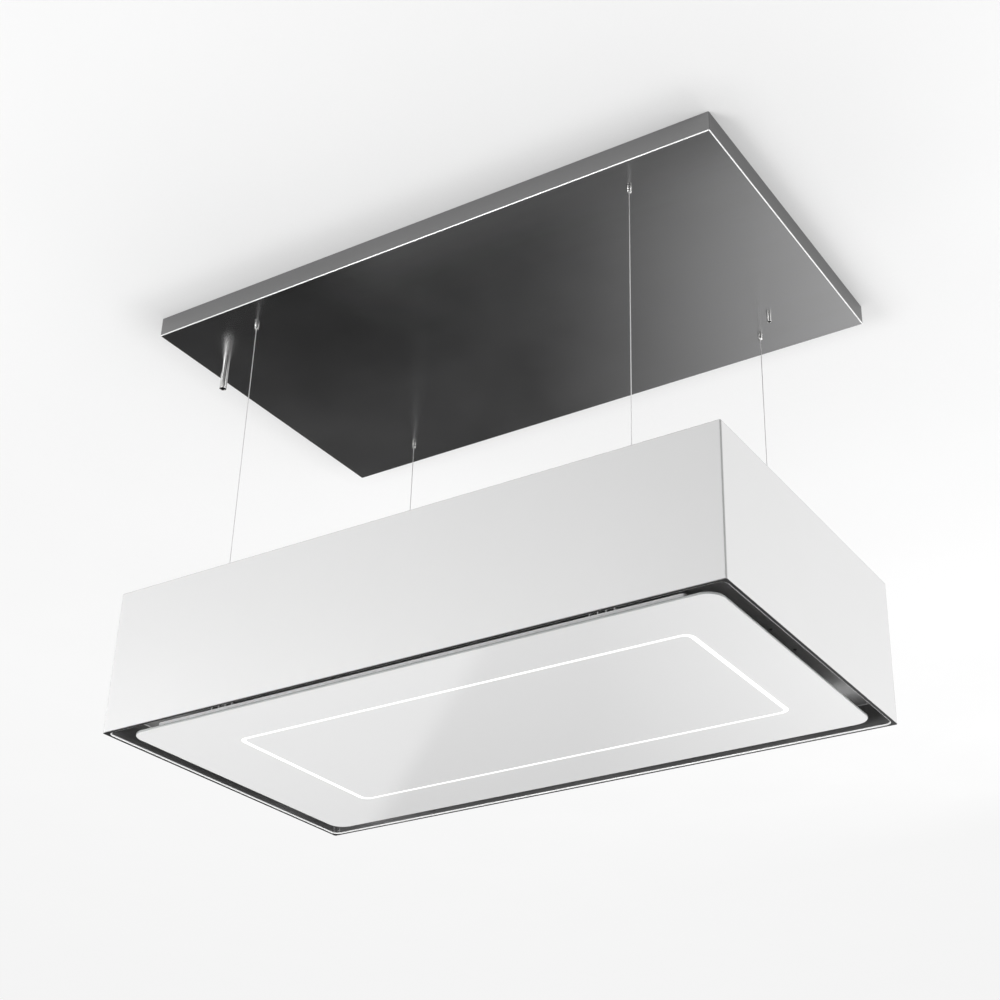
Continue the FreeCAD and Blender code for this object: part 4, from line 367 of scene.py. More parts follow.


# the same for every brushed sheet; the last four say which way a face looks, for the painted shade and the painted
# highlight
sheetLook = {"cloud": (3.5, 3.0), "stain": 0.16, "stainTone": 0.8, "cloudRough": (-0.02, 0.03), "bendMetal": 0.7,
             "relief": 0.4 * mm, "end": 0.7, "flat": 0.9, "wall": 0.3, "bend": (0.08, 0.985)}

# brushed sheet: painted shade makes ends, flats and walls darker by a share; round a folded mouth the rim gets a
# painted dark reflection and the bend a painted highlight
coverSteel = {"dark": 0.273, "light": 0.279, "line": 4.0, "fine": 190.0, "detail": 0.0, "roughness": (0.226, 0.230),
              "ends": 0.45, "mouth": (-38 * mm, None, grey(0.90))}
recessSteel = {"dark": 0.55, "light": 0.66, "line": 12.0, "fine": 1500.0, "roughness": (0.30, 0.38), "bump": 0.08,
               "metallic": 0.80, "walls": 0.52, "mouth": (-860.5 * mm, grey(0.006), grey(0.82))}
traySteel = {"dark": 0.80, "light": 0.87, "line": 14.0, "fine": 1300.0, "roughness": (0.36, 0.46), "bump": 0.06,
             "metallic": 0.0, "paintedFlatShade": 0.26}
channelMetal = {"dark": 0.52, "light": 0.62, "line": 4.0, "fine": 1900.0, "roughness": (0.30, 0.42), "bump": 0.10}


def brushedFinish(name, look):
    # lines run along the length, and across it on faces that look along the length
    material, tree, shader = newFinish(name)
    line, fine, detail = look["line"], look["fine"], look.get("detail", 4.0)
    lengthwise, across = [noise(place(tree, scale), 1.0, detail, 0.6)
                          for scale in ((line, fine, fine), (fine, line, fine))]
    facing = axes(tree, addNode(tree, "ShaderNodeTexCoord").outputs["Normal"])
    onEnd = moreThan(sizeOf(facing["X"]), sheetLook["end"])
    upright = sizeOf(facing["Z"])
    lines = either(onEnd, lengthwise, across)
    cloud = noise(place(tree), *sheetLook["cloud"])
    black = grey(0.0)
    tone = between(spread(lines, 0, 1), grey(look["dark"]), grey(look["light"], (0, 0, 0.003)))
    stained = spread(cloud, 0, sheetLook["stain"])
    tone = between(stained, tone, grey(look["dark"] * sheetLook["stainTone"]))
    # painted shade: faces that look along the length are darker
    tone = between(times(onEnd, look.get("ends", 0.0)), tone, black)
    # painted shade: faces that look up or down are darker
    flat = moreThan(upright, sheetLook["flat"])
    tone = between(times(flat, look.get("paintedFlatShade", 0.0)), tone, black)
    rough = plus(spread(lines, *look["roughness"]), spread(cloud, *sheetLook["cloudRough"]))
    metal = look.get("metallic", 1.0)
    if "mouth" in look:
        level, rim, bend = look["mouth"]
        bendFrom, bendTo = sheetLook["bend"]
        under = lessThan(axes(tree)["Z"], level)
        wall = lessThan(upright, sheetLook["wall"])
        # painted shade: upright walls are darker
        tone = between(times(wall, look.get("walls", 0.0)), tone, black)
        # painted reflection: the flat rim under the mouth takes a dark colour
        if rim:
            tone = between(times(moreThan(upright, bendTo), under), tone, rim)
        # painted highlight: the bend under the mouth takes a pale colour and is made less metallic
        folded = times(lessThan(upright, bendTo), moreThan(upright, bendFrom), under)
        tone = between(folded, tone, bend)
        metal = minus(metal, times(folded, sheetLook["bendMetal"]))
    normal = bump(lines, look["bump"], sheetLook["relief"]) if "bump" in look else None
    wear(shader, tone, rough, normal, {"Metallic": metal})
    return material


lacquerLook = {"colour": 0.80, "fade": 0.785, "roughness": (0.38, 0.46), "coat": 0.06, "coatRoughness": 0.2,
               "shine": 0.25, "cloud": 2.3, "peel": 420.0, "speck": 2600.0, "speckShare": 0.25, "bump": 0.035,
               "relief": 0.6 * mm, "edgeTone": 0.34, "edgeShare": 0.75, "edgeWidth": 2.2 * mm}


def lacquerFinish(look):
    material, tree, shader = newFinish("whiteLacquer")
    peel = noise(place(tree), look["peel"], 2.0)
    speck = noise(place(tree), look["speck"], 2.0)
    cloud = noise(place(tree), look["cloud"])
    tone = between(spread(cloud, 0, 1), grey(look["colour"]), grey(look["fade"], (0, 0, -0.002)))
    # a grey band is painted along the upright and top edges
    wide, high, spot = look["edgeWidth"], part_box("casing")[1], axes(tree)
    fromX = minus(sizeOf(spot["X"]), high[0] - wide)
    fromY = minus(sizeOf(spot["Y"]), high[1] - wide * 1.6)
    fromZ = minus(spot["Z"], high[2] - wide * 0.4)
    corner = smallest(fromX, fromY)
    rim = smallest(fromZ, largest(fromX, fromY))
    greyEdge = spread(largest(corner, rim), 0, look["edgeShare"], 0, wide * 0.3)
    grain = plus(peel, times(speck, look["speckShare"]))
    wear(shader, between(greyEdge, tone, grey(look["edgeTone"])), spread(peel, *look["roughness"]),
         bump(grain, look["bump"], look["relief"]),
         {"Specular IOR Level": look["shine"], "Coat Weight": look["coat"], "Coat Roughness": look["coatRoughness"]})
    return material


galvanisedLook = {"spangle": 85.0, "frost": 900.0, "shares": (0.7, 0.3), "dark": grey(0.42, (0, 0.004, 0.008)),
                  "light": grey(0.60, (0, 0.004, 0.006)), "roughness": (0.34, 0.52), "metallic": 0.95,
                  "bump": 0.06, "relief": 0.3 * mm}


def galvanisedFinish(look):
    material, tree, shader = newFinish("galvanisedSheet")
    shade = firstChannel(cells(place(tree), look["spangle"])["Color"])
    frost = noise(place(tree), look["frost"])
    mixed = mixOf(shade, frost, look["shares"])
    low, high = look["roughness"]
    wear(shader, between(mixed, look["dark"], look["light"]), spread(mixed, high, low, 0, 1),
         bump(frost, look["bump"], look["relief"]), {"Metallic": look["metallic"]})
    return material


platedLook = {"turns": 40.0, "tarnish": (260.0, 4.0), "shares": (0.6, 0.4), "bump": 0.08, "relief": 0.2 * mm}


def platedFinish(name, dark, light, roughness, ringScale, tint=(0, 0, 0), metallic=1.0, look=platedLook):
    # turned or plated small parts: fine rings round the upright axis, and a little tarnish
    material, tree, shader = newFinish(name)
    rings = noise(place(tree, (look["turns"], look["turns"], ringScale)))
    tarnish = noise(place(tree), *look["tarnish"])
    mixed = mixOf(rings, tarnish, look["shares"])
    wear(shader, shaded(mixed, dark, light, tint),
         spread(mixed, *roughness), bump(rings, look["bump"], look["relief"]), {"Metallic": metallic})
    return material


def mouldedFinish(name, dark, light, roughness, grain, depth, tint=(0, 0, 0), metallic=0.0):
    # moulded plastic: a spark-eroded grain and a little flow shade
    material, tree, shader = newFinish(name)
    flow = noise(place(tree, (3, 3, 9)), 4.0)
    pits = cells(place(tree), grain, "SMOOTH_F1")["Distance"]
    fine = noise(place(tree), grain * 1.7)
    wear(shader, shaded(flow, dark, light, tint),
         spread(fine, *roughness), bump(plus(pits, fine), depth, 0.0002), {"Metallic": metallic})
    return material


def laminatedFinish(name, dark, light, pitch, tint, roughness=(0.35, 0.55), metallic=0.8):
    # thin sheets stacked along the blower's axis, varnished
    material, tree, shader = newFinish(name)
    sheets = noise(place(tree, (pitch, 12.0, 12.0)), 1.0, 2.0)
    stain = noise(place(tree), 120.0)
    tone = shaded(sheets, dark, light, tint, 0.4, 0.6)
    wear(shader, between(spread(stain, 0, 0.4), tone, grey(dark * 0.6, tint)),
         spread(stain, *roughness), bump(sheets, 0.35, 0.0003), {"Metallic": metallic})
    return material


greenBoard = {"mask": (0.03, 0.14, 0.07, 1), "copper": (0.07, 0.26, 0.13, 1), "pitch": 240.0}
whiteBoard = {"mask": grey(0.74), "copper": grey(0.66), "pitch": 300.0}


def boardFinish(name, look):
    # solder mask over straight copper tracks
    material, tree, shader = newFinish(name)
    turn = firstChannel(cells(place(tree, (1, 1, 0.001)), look["pitch"] * 0.25)["Color"])
    spot = axes(tree)
    alongX, alongY = [mathNode("PINGPONG", times(spot[key], look["pitch"] * 2), 1.0) for key in "XY"]
    track = moreThan(either(moreThan(turn, 0.5), alongX, alongY), 0.58)
    wear(shader, between(track, look["mask"], look["copper"]), spread(track, 0.30, 0.42, 0, 1),
         bump(track, 0.3, 0.00008))
    return material


charcoalLook = {"hole": 330.0, "share": 0.32, "rim": 0.05, "granule": 0.012, "grain": 900.0}


def charcoalFinish(look):
    # a pierced black case with granules showing in its holes
    material, tree, shader = newFinish("charcoalCase")
    spot = axes(tree)
    y, z = [mathNode("PINGPONG", times(spot[key], look["hole"]), 0.5) for key in "YZ"]
    far = squareRoot(plus(times(y, y), times(z, z)))
    hole = lessThan(far, look["share"])
    grains = cells(place(tree), look["grain"])["Distance"]
    dark = between(grains, grey(look["granule"]), grey(look["granule"] * 3))
    wear(shader, between(hole, grey(look["rim"]), dark), spread(hole, 0.42, 0.9, 0, 1),
         bump(minus(times(grains, 0.3), hole), 0.8, 0.0008))
    return material


cassetteLook = {"frame": (0.52, 0.62), "core": (0.05, 0.15), "inset": (14 * mm, 31 * mm),
                "edge": 5 * mm, "slack": 0.1 * mm, "weave": 420.0, "metallic": 0.9}


def cassetteFinish(look):
    # bright brushed frame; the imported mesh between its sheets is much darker
    material, tree, shader = newFinish("filterAlloy")
    spot = axes(tree)
    low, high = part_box("grease_filter_right")
    side, end = look["inset"]
    near, far = low[1] + end, high[1] - look["edge"] - side

    def within(value, start, stop):
        middle, half = (start + stop) / 2, (stop - start) / 2 + look["slack"]
        return lessThan(sizeOf(minus(value, middle)), half)

    inside = times(within(sizeOf(spot["X"]), low[0] + side, high[0] - side), within(spot["Y"], near, far))
    grain = noise(place(tree, (0.02, 1, 1)), 1800.0)
    weave = cells(place(tree, (1, 1.8, 0.4)), look["weave"], "DISTANCE_TO_EDGE")["Distance"]
    knit = spread(weave, 0, 1, 0.02, 0.22)
    metal = between(grain, *[grey(value) for value in look["frame"]])
    core = between(knit, *[grey(value) for value in reversed(look["core"])])
    wear(shader, between(inside, metal, core), spread(grain, 0.32, 0.44),
         bump(times(knit, inside), 0.4, 0.0006), {"Metallic": look["metallic"]})
    return material


whiteLacquer = lacquerFinish(lacquerLook)
nickel = platedFinish("nickelPlate", 0.62, 0.74, (0.16, 0.28), 5200.0, (0.006, 0.003, -0.006))
zinc = platedFinish("zincPlate", 0.50, 0.64, (0.26, 0.40), 2600.0, (0.0, 0.002, 0.008))
catchPlate = platedFinish("catchPlate", 0.84, 0.93, (0.30, 0.42), 400.0, metallic=0.35)
darkRivet = platedFinish("darkRivet", 0.16, 0.26, (0.30, 0.42), 900.0)
wireSteel = platedFinish("wireSteel", 0.72, 0.86, (0.34, 0.46), 600.0)
filterMetal = platedFinish("filterMetal", 0.44, 0.60, (0.30, 0.46), 1500.0)
greyPlastic = mouldedFinish("greyPlastic", 0.33, 0.37, (0.42, 0.56), 1400.0, 0.12)
latchPlastic = mouldedFinish("latchPlastic", 0.018, 0.026, (0.40, 0.55), 1600.0, 0.16)

finishes = {
    "brushed_cover": brushedFinish("brushedCover", coverSteel),
    "recess_steel": brushedFinish("brushedRecess", recessSteel),
    "tray_steel": brushedFinish("satinTray", traySteel),
    "extrusion": brushedFinish("channelAlloy", channelMetal),
    "white_lacquer": whiteLacquer,
    "galvanised": galvanisedFinish(galvanisedLook),
    "nickel": nickel,
    "fastener": zinc,
    "rivet": darkRivet,
    "wire": wireSteel,
    "grey_plastic": greyPlastic,
    "white_plastic": mouldedFinish("whitePlastic", 0.74, 0.78, (0.34, 0.44), 1200.0, 0.05, (0, 0, -0.012)),
    "latch_plastic": latchPlastic,
    "wheel_plastic": mouldedFinish("wheelPlastic", 0.016, 0.028, (0.38, 0.52), 900.0, 0.10, (0, 0, 0.002)),
    "cast_aluminium": mouldedFinish("canAlloy", 0.36, 0.44, (0.40, 0.55), 1100.0, 0.15, metallic=0.9),
    "magnet": mouldedFinish("magnetBlack", 0.022, 0.034, (0.32, 0.46), 1500.0, 0.10),
    "circuit_board": boardFinish("boardGreen", greenBoard),
    "charcoal": charcoalFinish(charcoalLook),
    "iron_core": laminatedFinish("ironCore", 0.10, 0.22, 1600.0, (0.02, 0.008, -0.01)),
    "shaft_steel": laminatedFinish("groundShaft", 0.40, 0.52, 900.0, (0, 0, 0.004), (0.2, 0.34), 1.0),
    "filter_mesh": cassetteFinish(cassetteLook),
}
ownFinish = {"catch_yokes": catchPlate, "led_board": boardFinish("boardWhite", whiteBoard)}

for part in frame["record"]["subparts"]:
    partFinish = ownFinish.get(part["node"]) or finishes.get(part["material_slot"])
    if partFinish:
        dress(partFinish, part["node"])
print("finishes made")


def roundedOutline(low, high, z, inset, corner, steps):
    # counter-clockwise from above, the same number of points whatever the size
    left, near, right, far = low[0] + inset, low[1] + inset, high[0] - inset, high[1] - inset
    points = []
    centres = [(right - corner, far - corner, 0), (left + corner, far - corner, 90),
               (left + corner, near + corner, 180), (right - corner, near + corner, 270)]
    for x, y, start in centres:
        for step in range(steps + 1):
            angle = math.radians(start + 90 * step / steps)
            points.append((x + corner * math.cos(angle), y + corner * math.sin(angle), z))
    return points


def plainMesh(name, build, material=None, sharp=None):
    # ends a build: its faces point outwards, and edges under the sharp angle are smooth
    bmesh.ops.recalc_face_normals(build, faces=build.faces)
    mesh = bpy.data.meshes.new(name)
    build.to_mesh(mesh)
    build.free()
    if material:
        mesh.materials.append(material)
    if sharp:
        mesh.shade_smooth()
        mesh.set_sharp_from_angle(angle=math.radians(sharp))
    return mesh


def ringMesh(name, rings, material, sharp=None, loop=False):
    # rings are lists of points with the same count; the last joins the first, or both are closed
    build = bmesh.new()
    made = [[build.verts.new(point) for point in ring] for ring in rings]
    count = len(made[0])
    for first, second in zip(made, made[1:] + (made[:1] if loop else [])):
        for key in range(count):
            build.faces.new((first[key], first[(key + 1) % count], second[(key + 1) % count], second[key]))
    if not loop:
        build.faces.new(list(reversed(made[0])))
        build.faces.new(made[-1])
    return plainMesh(name, build, material, sharp)


glassLook = {
    "corner": 30 * mm,
    "arris": 0.7 * mm,
    "lineLeft": -416.5 * mm,           # centre lines of the lit band
    "lineRight": 464 * mm,
    "lineSide": 180.3 * mm,
    "lineCorner": 15 * mm,
    "lineHalf": (4.4 * mm, 3.3 * mm),  # short sides, long sides
    "lineDeep": 1.0 * mm,
    "steps": 12,                       # faces round a corner
    "white": 0.79,
    "roughness": 0.30,
    "coatRoughness": 0.015,
    "shine": 0.2,
    # painted glow round the lit band: how strong, how far it reaches
    "glow": 0.01,
    "glowReach": 0.022,
}


def lineDistance(tree, look):
    # distance from the lit band's centre line, a rounded rectangle
    spot = axes(tree)
    middle = (look["lineLeft"] + look["lineRight"]) / 2
    half = (look["lineRight"] - look["lineLeft"]) / 2
    x = minus(sizeOf(minus(spot["X"], middle)), half)
    y = minus(sizeOf(spot["Y"]), look["lineSide"])
    inside = smallest(largest(x, y), 0.0)
    overX, overY = largest(x, 0.0), largest(y, 0.0)
    outside = squareRoot(plus(times(overX, overX), times(overY, overY)))
    return sizeOf(plus(inside, outside))


def glassFinish(look):
    material, tree, shader = newFinish("whiteGlass")
    # painted glow: the glass gives off light close round the lit band, fading with distance from it
    far = minus(lineDistance(tree, look), look["lineHalf"][0])
    near = largest(minus(1.0, divided(far, look["glowReach"])), 0.0)
    cloud = noise(place(tree), 1.7, 2.0)
    wear(shader, shaded(cloud, look["white"], look["white"] * 0.992), look["roughness"], None, {
        "Emission Strength": times(near, near, look["glow"]), "Emission Color": grey(1.0),
        "Coat Weight": 1.0, "Coat Roughness": look["coatRoughness"], "Specular IOR Level": look["shine"]})
    return material


def glassEdgeFinish():
    # ground edge of the glass, with a green-grey tint
    material, tree, shader = newFinish("glassEdge")
    ground = noise(place(tree, (1, 1, 8)), 900.0)
    wear(shader, between(ground, grey(0.46, (-0.012, 0.004, 0.0)), grey(0.58, (-0.01, 0.004, 0.0))),
         spread(ground, 0.12, 0.26), None, {"Coat Weight": 0.8, "Coat Roughness": 0.04})
    return material


def litFinish():
    material, tree, shader = newFinish("litLine")
    opal = noise(place(tree), 40.0, 2.0)
    wear(shader, between(opal, grey(0.30), grey(0.34)), 0.3, None, {
        "Emission Strength": spread(opal, 0.86, 0.92), "Emission Color": grey(1.0)})
    return material


def makeGlass(look):
    low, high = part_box("glass_panel")
    bottom, top, arris, steps = low[2], high[2], look["arris"], look["steps"]

    def outline(inset, z):
        return roundedOutline(low, high, z, inset, look["corner"] - inset, steps)

    def band(side, z):
        # outline of the lit band: side 1 is its outer edge, -1 its inner one
        onEnds, onSides = (side * half for half in look["lineHalf"])
        start = (look["lineLeft"] - onEnds, -look["lineSide"] - onSides)
        end = (look["lineRight"] + onEnds, look["lineSide"] + onSides)
        return roundedOutline(start, end, z, 0, look["lineCorner"] + onSides, steps)

    # the lit line is a ring let into a groove of the same section
    floor = bottom + look["lineDeep"]
    groove = [band(1, bottom), band(1, floor), band(-1, floor), band(-1, bottom)]
    edge = [outline(arris, top), outline(0, top - arris), outline(0, bottom + arris), outline(arris, bottom)]
    mesh = ringMesh("glassPanel", edge + groove, glassFinish(look), 25)
    addFinish(mesh, glassEdgeFinish(), lambda face: abs(face.normal.z) < 0.99)
    newPiece("glassPanel", mesh, "panel", "white_glass", "glass_panel")
    lit = litFinish()
    newPiece("litLine", ringMesh("litLine", groove, lit, loop=True), "panel", "light")
    dress(lit, "light_guide")


makeGlass(glassLook)
print("glass panel made")


def openTree(name, **sockets):
    # a modifier tree with named inputs, all of them set before it runs
    tree = bpy.data.node_groups.new(name, "GeometryNodeTree")
    for side in ("INPUT", "OUTPUT"):
        tree.interface.new_socket("Geometry", in_out=side, socket_type="NodeSocketGeometry")
    for label, kind in {**sockets, "Finish": "Material"}.items():
        tree.interface.new_socket(label, in_out="INPUT", socket_type="NodeSocket" + kind)
    return tree, tree.nodes.new("NodeGroupInput").outputs


def closeTree(tree, enter, geometry, smooth=False):
    # the copies become plain faces with their finish
    geometry = addNode(tree, "GeometryNodeRealizeInstances", {0: geometry}).outputs[0]
    if smooth:
        geometry = addNode(tree, "GeometryNodeSetShadeSmooth", {0: geometry}).outputs[0]
    geometry = addNode(tree, "GeometryNodeSetMaterial", {0: geometry, "Material": enter["Finish"]}).outputs[0]
    addNode(tree, "NodeGroupOutput", {"Geometry": geometry})
    return tree


def onPoints(tree, points, unit, **settings):
    return addNode(tree, "GeometryNodeInstanceOnPoints", {"Points": points, "Instance": unit, **settings}).outputs[0]


def sweep(tree, curve, sides, radius):
    profile = addNode(tree, "GeometryNodeCurvePrimitiveCircle", {"Resolution": sides, "Radius": radius})
    return addNode(tree, "GeometryNodeCurveToMesh", {"Curve": curve, "Profile Curve": profile.outputs[0],
                                                     "Fill Caps": True}).outputs[0]


def runTree(name, tree, values, base=None):
    # puts the tree on an object, sets its inputs by identifier and returns a plain mesh
    holder = inScene(name + "Maker", base or bpy.data.meshes.new(name + "Base"))
    modifier = holder.modifiers.new("maker", "NODES")
    modifier.node_group = tree
    ids = {item.name: item.identifier for item in tree.interface.items_tree
           if item.item_type == "SOCKET" and item.in_out == "INPUT"}
    for label, value in values.items():
        modifier[ids[label]] = value
    graph = bpy.context.evaluated_depsgraph_get()
    graph.update()
    mesh = bpy.data.meshes.new_from_object(holder.evaluated_get(graph), depsgraph=graph)
    mesh.name = name
    holder.modifiers.clear()
    bpy.data.objects.remove(holder)
    return mesh


def joinMeshes(name, parts):
    # parts are (mesh, place); materials are taken from the first
    build = bmesh.new()
    for mesh, spot in parts:
        copy = mesh.copy()
        copy.transform(Matrix.Translation(spot))
        build.from_mesh(copy)
        bpy.data.meshes.remove(copy)
    joined = bpy.data.meshes.new(name)
    build.to_mesh(joined)
    build.free()
    for material in parts[0][0].materials:
        joined.materials.append(material)
    return joined


def shapeAt(shape, key, sides):
    # how far a turned ring is drawn in at one of its points
    angle = math.tau * key / sides
    if shape == "hex":
        return math.cos(math.pi / 6) / math.cos(angle % (math.pi / 3) - math.pi / 6)
    if shape == "lobes":
        return 1 + 0.15 * math.cos(6 * angle)
    if shape == "knurl":
        return 1 - 0.035 * (key % 2)
    return 1


def turned(name, profile, sides, material, loop=True):
    # a turned solid round Z: profile is (radius, z) or (radius, z, shape), a closed loop or from end to end
    build = bmesh.new()
    rings = []
    for radius, z, *shape in profile:
        ring = []
        for key in range(sides if radius else 1):
            reach = radius * shapeAt(shape[0] if shape else "round", key, sides)
            angle = math.tau * key / sides
            ring.append(build.verts.new((reach * math.cos(angle), reach * math.sin(angle), z)))
        rings.append(ring)
    for first, second in zip(rings, rings[1:] + (rings[:1] if loop else [])):
        for key in range(sides):
            corners = [first[key % len(first)], first[(key + 1) % len(first)],
                       second[(key + 1) % len(second)], second[key % len(second)]]
            build.faces.new(list(dict.fromkeys(corners)))
    return plainMesh(name, build, material, 35)


wireLook = {
    "spots": [(x, y) for x in (-412 * mm, 412 * mm) for y in (-260 * mm, 260 * mm)],
    "radius": 0.8 * mm,
    "strands": 6,
    "lay": 14 * mm,
    "clampZ": -40 * mm,
    "collarZ": -583 * mm,
    "travel": 0.3,
    "stop": (2 * mm, 3 * mm, 0.5 * mm),  # radius, half height, chamfer
}


def wireTree():
    tree, enter = openTree("strandedWire", Length="Float", Radius="Float", Lay="Float", Strands="Int")
    third = divided(enter["Radius"], 3.0)
    offset = times(third, 1.98)
    helix = addNode(tree, "GeometryNodeCurveSpiral", {
        "Resolution": 10, "Rotations": divided(enter["Length"], enter["Lay"]),
        "Start Radius": offset, "End Radius": offset, "Height": enter["Length"]})
    spots = addNode(tree, "GeometryNodePoints", {"Count": enter["Strands"]})
    index = addNode(tree, "GeometryNodeInputIndex").outputs[0]
    turn = times(index, divided(math.tau, enter["Strands"]))
    strand = sweep(tree, helix.outputs[0], 6, third)
    return closeTree(tree, enter, onPoints(tree, spots.outputs[0], strand, Rotation=combine(tree, Z=turn)), True)


def makeWires(look):
    low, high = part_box("suspension_wires")
    tree = wireTree()
    common = {"Radius": look["radius"], "Lay": look["lay"], "Strands": look["strands"], "Finish": wireSteel}
    radius, half, soft = look["stop"]
    spans = {
        "upperWires": ("ceiling_set", look["clampZ"], high[2] - half, high[2] - half),
        "freeWires": ("ceiling_set", look["collarZ"], look["clampZ"], None),
        "lowerWires": ("hood", low[2] + half, look["collarZ"], low[2] + half),
    }
    for name, (body, start, end, stopAt) in spans.items():
        wire = runTree(name + "One", tree, {**common, "Length": end - start})
        parts = [(wire, (x, y, start)) for x, y in look["spots"]]
        if stopAt:
            bottom, top = stopAt - half, stopAt + half
            stop = turned(name + "Stop", [(0, bottom), (radius - soft, bottom), (radius, bottom + soft),
                                          (radius, top - soft), (radius - soft, top), (0, top)],
                          20, wireSteel, False)
            parts += [(stop, (x, y, 0)) for x, y in look["spots"]]
        mesh = joinMeshes(name, parts)
        mesh.shade_smooth()
        piece = newPiece(name, mesh, body, "wire", "suspension_wires")
        if name == "freeWires":
            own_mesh(piece)


makeWires(wireLook)
print("wires made")


# fittings: each repeated one is made once and set on its places by one tree
fittingLook = {
    "screw": (1.9 * mm, 6 * mm),               # radius, length
    "screwHead": (3.6 * mm, 2.0 * mm),         # radius, height
    "rivet": 1.6 * mm,
    "rivetHead": (3.0 * mm, 1.2 * mm),
    "bore": 0.95 * mm,
    "collar": (4.5 * mm, 4.2 * mm),
    "collarStem": 3.0 * mm,
    "plungerSeat": (2.08 * mm, 12.2 * mm),
    "plunger": (4.2 * mm, 4.0 * mm),
    "plungerStem": 2.0 * mm,
    "anchor": (8 * mm, 15 * mm),
    "anchorShoulder": 6 * mm,
    "anchorStud": (4 * mm, 18 * mm),
    "gland": (9 * mm, 10 * mm),
    "glandNut": (10.5 * mm, 4 * mm),
    "glandThread": 7.6 * mm,
    "glandBore": 4 * mm,
    "sleeves": {"supply": (7 * mm, 5.6 * mm),  # radius, bore
                "control": (4.2 * mm, 3.4 * mm)},
    "flange": (5 * mm, 2 * mm),
    "soft": 0.35 * mm,                         # chamfer of the turned edges
}


def looseParts(name):
    # the box of each separate solid of a node
    build = bmesh.new()
    build.from_mesh(nodes[name].data)
    bmesh.ops.remove_doubles(build, verts=build.verts, dist=1e-6)
    left = set(build.verts)
    parts = []
    while left:
        spots, queue = [], [left.pop()]
        while queue:
            vertex = queue.pop()
            spots.append(vertex.co.copy())
            others = {edge.other_vert(vertex) for edge in vertex.link_edges} & left
            left -= others
            queue += others
        parts.append([Vector([pick(spot[axis] for spot in spots) for axis in range(3)]) for pick in (min, max)])
    build.free()
    return sorted(parts, key=lambda part: (round(part[0].x, 4), round(part[0].y, 4)))


def middles(name, level):
    # the middle of each solid of a node, at one height
    return [((low.x + high.x) / 2, (low.y + high.y) / 2, level) for low, high in looseParts(name)]


def spotTree():
    tree, enter = openTree("onSpots", Piece="Object", Turn="Float", Seed="Int")
    unit = addNode(tree, "GeometryNodeObjectInfo", {"Object": enter["Piece"]}).outputs["Geometry"]
    turn = addNode(tree, "FunctionNodeRandomValue", {2: 0.0, 3: enter["Turn"], 8: enter["Seed"]}, data_type="FLOAT")
    return closeTree(tree, enter, onPoints(tree, enter["Geometry"], unit, Rotation=combine(tree, Z=turn.outputs[1])))


spotsTree = spotTree()


def setOnSpots(name, unit, spots, turn=math.tau, seed=7):
    base = bpy.data.meshes.new(name + "Spots")
    base.from_pydata(spots, [], [])
    maker = inScene(name + "Unit", unit)
    inputs = {"Piece": maker, "Turn": turn, "Seed": seed, "Finish": unit.materials[0]}
    mesh = runTree(name, spotsTree, inputs, base)
    bpy.data.objects.remove(maker)
    return mesh


def fitEach(name, node, unit, level, body, slot, **settings):
    # one unit on each solid of a node
    newPiece(name, setOnSpots(name, unit, middles(node, level), **settings), body, slot, node)


def moveToBox(mesh, low, high):
    # from the origin to the middle of a box, on its floor
    mesh.transform(Matrix.Translation(((low[0] + high[0]) / 2, (low[1] + high[1]) / 2, low[2])))


def makeScrews(look):
    # pan head with a six-lobed recess, seated at zero
    radius, tall = look["screwHead"]
    (shank, long), soft = look["screw"], look["soft"]
    profile = [(0, -long), (shank - soft, -long), (shank, soft - long), (shank, 0), (radius, 0), (radius, tall * 0.4),
               (radius * 0.93, tall * 0.72), (radius * 0.78, tall * 0.93), (radius * 0.62, tall),
               (radius * 0.50, tall, "lobes"), (radius * 0.46, tall * 0.35, "lobes"), (0, tall * 0.3)]
    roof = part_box("top_cover")[1][2]
    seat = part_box("hinge_screws")[0][2] + tall
    for name, node, level, turn, seed in (("coverScrews", "cover_screws", roof, 0, 3),
                                          ("hingeScrews", "hinge_screws", seat, math.pi, 5)):
        unit = turned(name + "Unit", profile, 36, zinc, False)
        unit.transform(Matrix.Rotation(turn, 4, "X"))
        fitEach(name, node, unit, level, "hood", "fastener", seed=seed)


def makeRivets(look):
    # blind rivets: a domed head with the mandrel's mark and a rolled tail above the brackets
    low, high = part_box("liner_rivets")
    radius, tall = look["rivetHead"]
    shank, soft = look["rivet"], look["soft"]
    top = high[2] - low[2] - tall * 2
    unit = turned("rivetUnit", [
        (0, -tall * 0.6), (shank * 0.5, -tall * 0.6), (shank * 0.58, -tall * 0.94), (radius * 0.42, -tall),
        (radius * 0.68, -tall * 0.84), (radius * 0.88, -tall * 0.5), (radius, -tall * 0.12), (radius, 0), (shank, 0),
        (shank, top), (shank * 1.4, top), (shank * 1.4, top + tall - soft), (shank, top + tall), (0, top + tall)],
        24, darkRivet, False)
    fitEach("linerRivets", "liner_rivets", unit, low[2] + tall, "hood", "rivet")


def makeGrippers(look):
    # knurled collar and threaded stem
    low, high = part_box("wire_grippers")
    soft, bore, stem = look["soft"], look["bore"], look["collarStem"]
    radius, tall = look["collar"]
    seat, deep = look["plungerSeat"]
    total = high[2] - low[2]
    unit = turned("gripperUnit", [
        (seat + soft / 2, 0), (radius - soft, 0), (radius, soft), (radius, tall * 0.24),
        (radius * 0.98, tall * 0.28, "knurl"), (radius, tall * 0.34, "knurl"), (radius, tall * 0.70, "knurl"),
        (radius * 0.98, tall * 0.76, "knurl"), (radius, tall * 0.80), (radius, tall - soft), (radius - soft, tall),
        (stem, tall), (stem, total - soft), (stem - soft, total), (bore, total), (bore, deep), (seat, deep),
        (seat, soft / 2)], 48, nickel)
    fitEach("wireGrippers", "wire_grippers", unit, low[2], "ceiling_set", "nickel")


